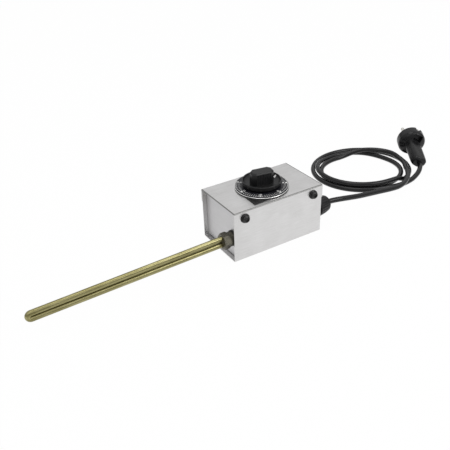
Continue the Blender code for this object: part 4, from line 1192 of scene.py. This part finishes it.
def makeScale(d, s):
    top = d["discBase"] + d["discThickness"]
    count = (len(s["numbers"]) - 1) * s["ticksPerNumber"] + 1
    step = math.radians(s["numberStep"] / s["ticksPerNumber"])
    first = math.radians(s["firstAngle"])
    for name, inner, outer, width, every, gapEvery, gapFrom in s["rows"]:
        bar = boxShape((inner, -width / 2, top), (outer, width / 2, top + s["ink"]))
        ticks = newObject(name, bar, looks["print"])
        grown(ticks, copiesRound, {"Count": (count - 1) // every + 1, "First": first, "Step": step * every,
                                   "Gap every": float(gapEvery), "Gap from": float(gapFrom),
                                   "Material": looks["print"]})
        shown(ticks, "knob")
    for index, number in enumerate(s["numbers"]):
        text = bpy.data.curves.new("number" + str(number), "FONT")
        text.body = str(number)
        text.size = s["numberSize"] * mm
        text.extrude = s["ink"] / 2 * mm
        text.offset = s["numberBold"] * mm
        text.align_x = "CENTER"
        text.align_y = "CENTER"
        text.resolution_u = 3
        label = bpy.data.objects.new(text.name, text)
        scene.collection.objects.link(label)
        bpy.context.view_layer.update()
        mesh = bpy.data.meshes.new_from_object(label.evaluated_get(bpy.context.evaluated_depsgraph_get()))
        bpy.data.objects.remove(label, do_unlink=True)
        mesh.materials.clear()
        mesh.materials.append(looks["print"])
        angle = math.radians(s["firstAngle"] + s["numberStep"] * index)
        outwards = Matrix.Translation((s["numberRadius"] * mm, 0, (top + s["ink"] / 2) * mm))
        upright = Matrix.Rotation(math.radians(90), 4, "Z")
        mesh.transform(Matrix.Rotation(angle, 4, "Z") @ outwards @ upright)
        piece = bpy.data.objects.new("scaleNumber" + str(number), mesh)
        scene.collection.objects.link(piece)
        shown(piece, "knob")


makeKnob(dial)
makeDisc(dial)
makePointer(dial, scale)
makeScale(dial, scale)
print("dial made")


# The cable gland.

gland = {
    "y": -23.4,
    "height": 27.0,
    "start": 61.3,
    "end": 79.2,
    "radius": 12.5,
    "bore": 3.45,
    "socket": 7.7,
    "socketEnd": 72.9,
    "ribs": 20,
    "ribDepth": 0.035,
}


def makeGland(g):
    at = (0, g["y"], g["height"])
    wide, end, start = g["radius"], g["end"], g["start"]
    outline = softened([(g["bore"], end), (wide * 0.37, end), (wide * 0.6, end - 0.5),
                        (wide * 0.75, end - 2.5), (wide * 0.87, end - 7.2), (wide * 0.96, end - 13.0),
                        (wide, start + 0.8), (wide * 0.97, start), (g["socket"], start),
                        (g["socket"], g["socketEnd"]), (g["bore"], g["socketEnd"])], 0.5, closed=True)

    def ribbed(angle, radius, height):
        share = ease(height, start + 1.0, start + 2.0) * (1 - ease(height, end - 6.0, end - 4.0))
        if radius < wide * 0.6:
            share = 0.0
        return 1 - g["ribDepth"] * share * (0.5 + 0.5 * math.cos(g["ribs"] * angle)) ** 2

    rows = []
    for a, b in zip(outline, outline[1:] + outline[:1]):
        pieces = max(1, round((b - a).length / 1.0))
        rows += [a.lerp(b, k / pieces) for k in range(pieces)]
    dome = newObject("glandDome", turnedShape([(p.x, p.y) for p in rows], 160, closed=True, wave=ribbed),
                     looks["nylon"], aimed(at, (1, 0, 0)))
    shown(dome, "cabinet", ("gland_dome",))


makeGland(gland)
print("gland made")


# Finishes on the pieces that keep their solids.

finishes = {
    "enamel": ("index_plate",),
    "rubber": ("bush_gasket", "gland_seal"),
    "nylon": ("gland_body", "gland_lock_nut"),
    "zinc": ("screw_rail_front", "screw_rail_back", "thermostat_frame", "thermostat_screw_left",
             "thermostat_screw_right", "bulb_cradle", "terminal_block_screw", "earth_stud",
             "bush_retaining_ring", "element_pin_upper", "element_pin_lower"),
    "brass": ("knob_spindle", "terminal_barrel", "thermostat_blade_left", "thermostat_blade_right",
              "earth_ring", "earth_nut"),
    "copper": ("sensor_bulb", "capillary_tube", "thermostat_diaphragm"),
    "ceramic": ("ceramic_bead_upper", "ceramic_bead_lower", "terminal_block"),
    "phenolic": ("thermostat_body",),
    "brownWire": ("wire_live", "wire_heater_live"),
    "blueWire": ("wire_neutral", "wire_heater_neutral"),
    "earthWire": ("wire_earth",),
    "cord": ("cord_sheath_end",),
}
for look, nodes in finishes.items():
    for node in nodes:
        part = bpy.data.objects[node]
        if part.material_slots:
            for place in part.material_slots:
                place.material = looks[look]
        else:
            part.data.materials.append(looks[look])
print("finishes set")


# The studio.

studio = {
    "floorSize": 9000.0,
    "floorColour": (0.90, 0.90, 0.90),
    "floorGlow": 0.98,
    "skyLight": 0.60,
    "skyStops": [(0.0, 0.12), (0.10, 0.22), (0.30, 0.62), (0.5, 0.82), (0.7, 0.95), (1.0, 0.85)],
    "lamps": [
        ("key", (650, -900, 1000), (50, 0, 30), 900, 6.4),
        ("fill", (-700, -500, 1100), (-50, 0, 20), 900, 1.4),
        ("top", (150, 150, 1400), (100, 30, 10), 800, 3.6),
    ],
}


def makeFloor(s):
    # flat floor: nearly white to the camera and to metal, with a trace of the object's shadow
    look = Look("floor")
    camera = look.node("ShaderNodeLightPath", out="Is Camera Ray")
    glossy = look.node("ShaderNodeLightPath", out="Is Glossy Ray")
    through = look.node("ShaderNodeLightPath", out="Is Transmission Ray")
    seen = look.sum("MINIMUM", camera + glossy + through, 1.0)
    look.plug(look.shader.inputs["Base Color"], (*s["floorColour"], 1.0))
    look.plug(look.shader.inputs["Roughness"], 0.9)
    look.shader.inputs["Specular IOR Level"].default_value = 0.0
    glow = look.nodes.new("ShaderNodeEmission")
    mixed = look.nodes.new("ShaderNodeMixShader")
    look.plug(mixed.inputs[0], seen * s["floorGlow"])
    look.links.new(look.shader.outputs[0], mixed.inputs[1])
    look.links.new(glow.outputs[0], mixed.inputs[2])
    look.links.new(mixed.outputs[0], look.nodes["Material Output"].inputs["Surface"])
    shape = bmesh.new()
    bmesh.ops.create_grid(shape, x_segments=1, y_segments=1, size=s["floorSize"] / 2 * mm)
    floor = newObject("floor", shape, look.material, Matrix.Translation((0, 0, -0.0002)))


def makeWorld(s):
    # white to the camera, an even light on the object, and a sky that darkens to the horizon in metal
    world = bpy.data.worlds.new("studio")
    scene.world = world
    world.use_nodes = True
    nodes, links = world.node_tree.nodes, world.node_tree.links
    nodes.clear()

    def shine(strength=1.0):
        made = nodes.new("ShaderNodeBackground")
        made.inputs["Color"].default_value = (1.0, 1.0, 1.0, 1.0)
        made.inputs["Strength"].default_value = strength
        return made

    def mixed(factor, first, second):
        made = nodes.new("ShaderNodeMixShader")
        links.new(factor, made.inputs[0])
        links.new(first.outputs[0], made.inputs[1])
        links.new(second.outputs[0], made.inputs[2])
        return made

    path = nodes.new("ShaderNodeLightPath")
    spot = nodes.new("ShaderNodeTexCoord")
    split = nodes.new("ShaderNodeSeparateXYZ")
    links.new(spot.outputs["Generated"], split.inputs[0])
    ramp = nodes.new("ShaderNodeValToRGB")
    stops = ramp.color_ramp
    for index, (place, level) in enumerate(s["skyStops"]):
        element = stops.elements[index] if index < 2 else stops.elements.new(place)
        element.position = place
        element.color = (level, level, level, 1.0)
    links.new(split.outputs["Z"], ramp.inputs[0])
    sky = shine()
    links.new(ramp.outputs[0], sky.inputs["Color"])
    unseen = mixed(path.outputs["Is Glossy Ray"], shine(s["skyLight"]), sky)
    seen = nodes.new("ShaderNodeMath")
    seen.operation = "MAXIMUM"
    links.new(path.outputs["Is Camera Ray"], seen.inputs[0])
    links.new(path.outputs["Is Transmission Ray"], seen.inputs[1])
    whole = mixed(seen.outputs[0], unseen, shine())
    result = nodes.new("ShaderNodeOutputWorld")
    links.new(whole.outputs[0], result.inputs["Surface"])


def makeLamps(s):
    for name, place, aim, size, power in s["lamps"]:
        data = bpy.data.lights.new(name, "AREA")
        data.shape = "DISK"
        data.size = size * mm
        data.energy = power
        lamp = bpy.data.objects.new(name, data)
        way = (Vector(place) - Vector(aim)).normalized()
        turn = way.to_track_quat("Z", "Y").to_matrix().to_4x4()
        lamp.matrix_world = Matrix.Translation(Vector(place) * mm) @ turn
        scene.collection.objects.link(lamp)


makeFloor(studio)
makeWorld(studio)
makeLamps(studio)
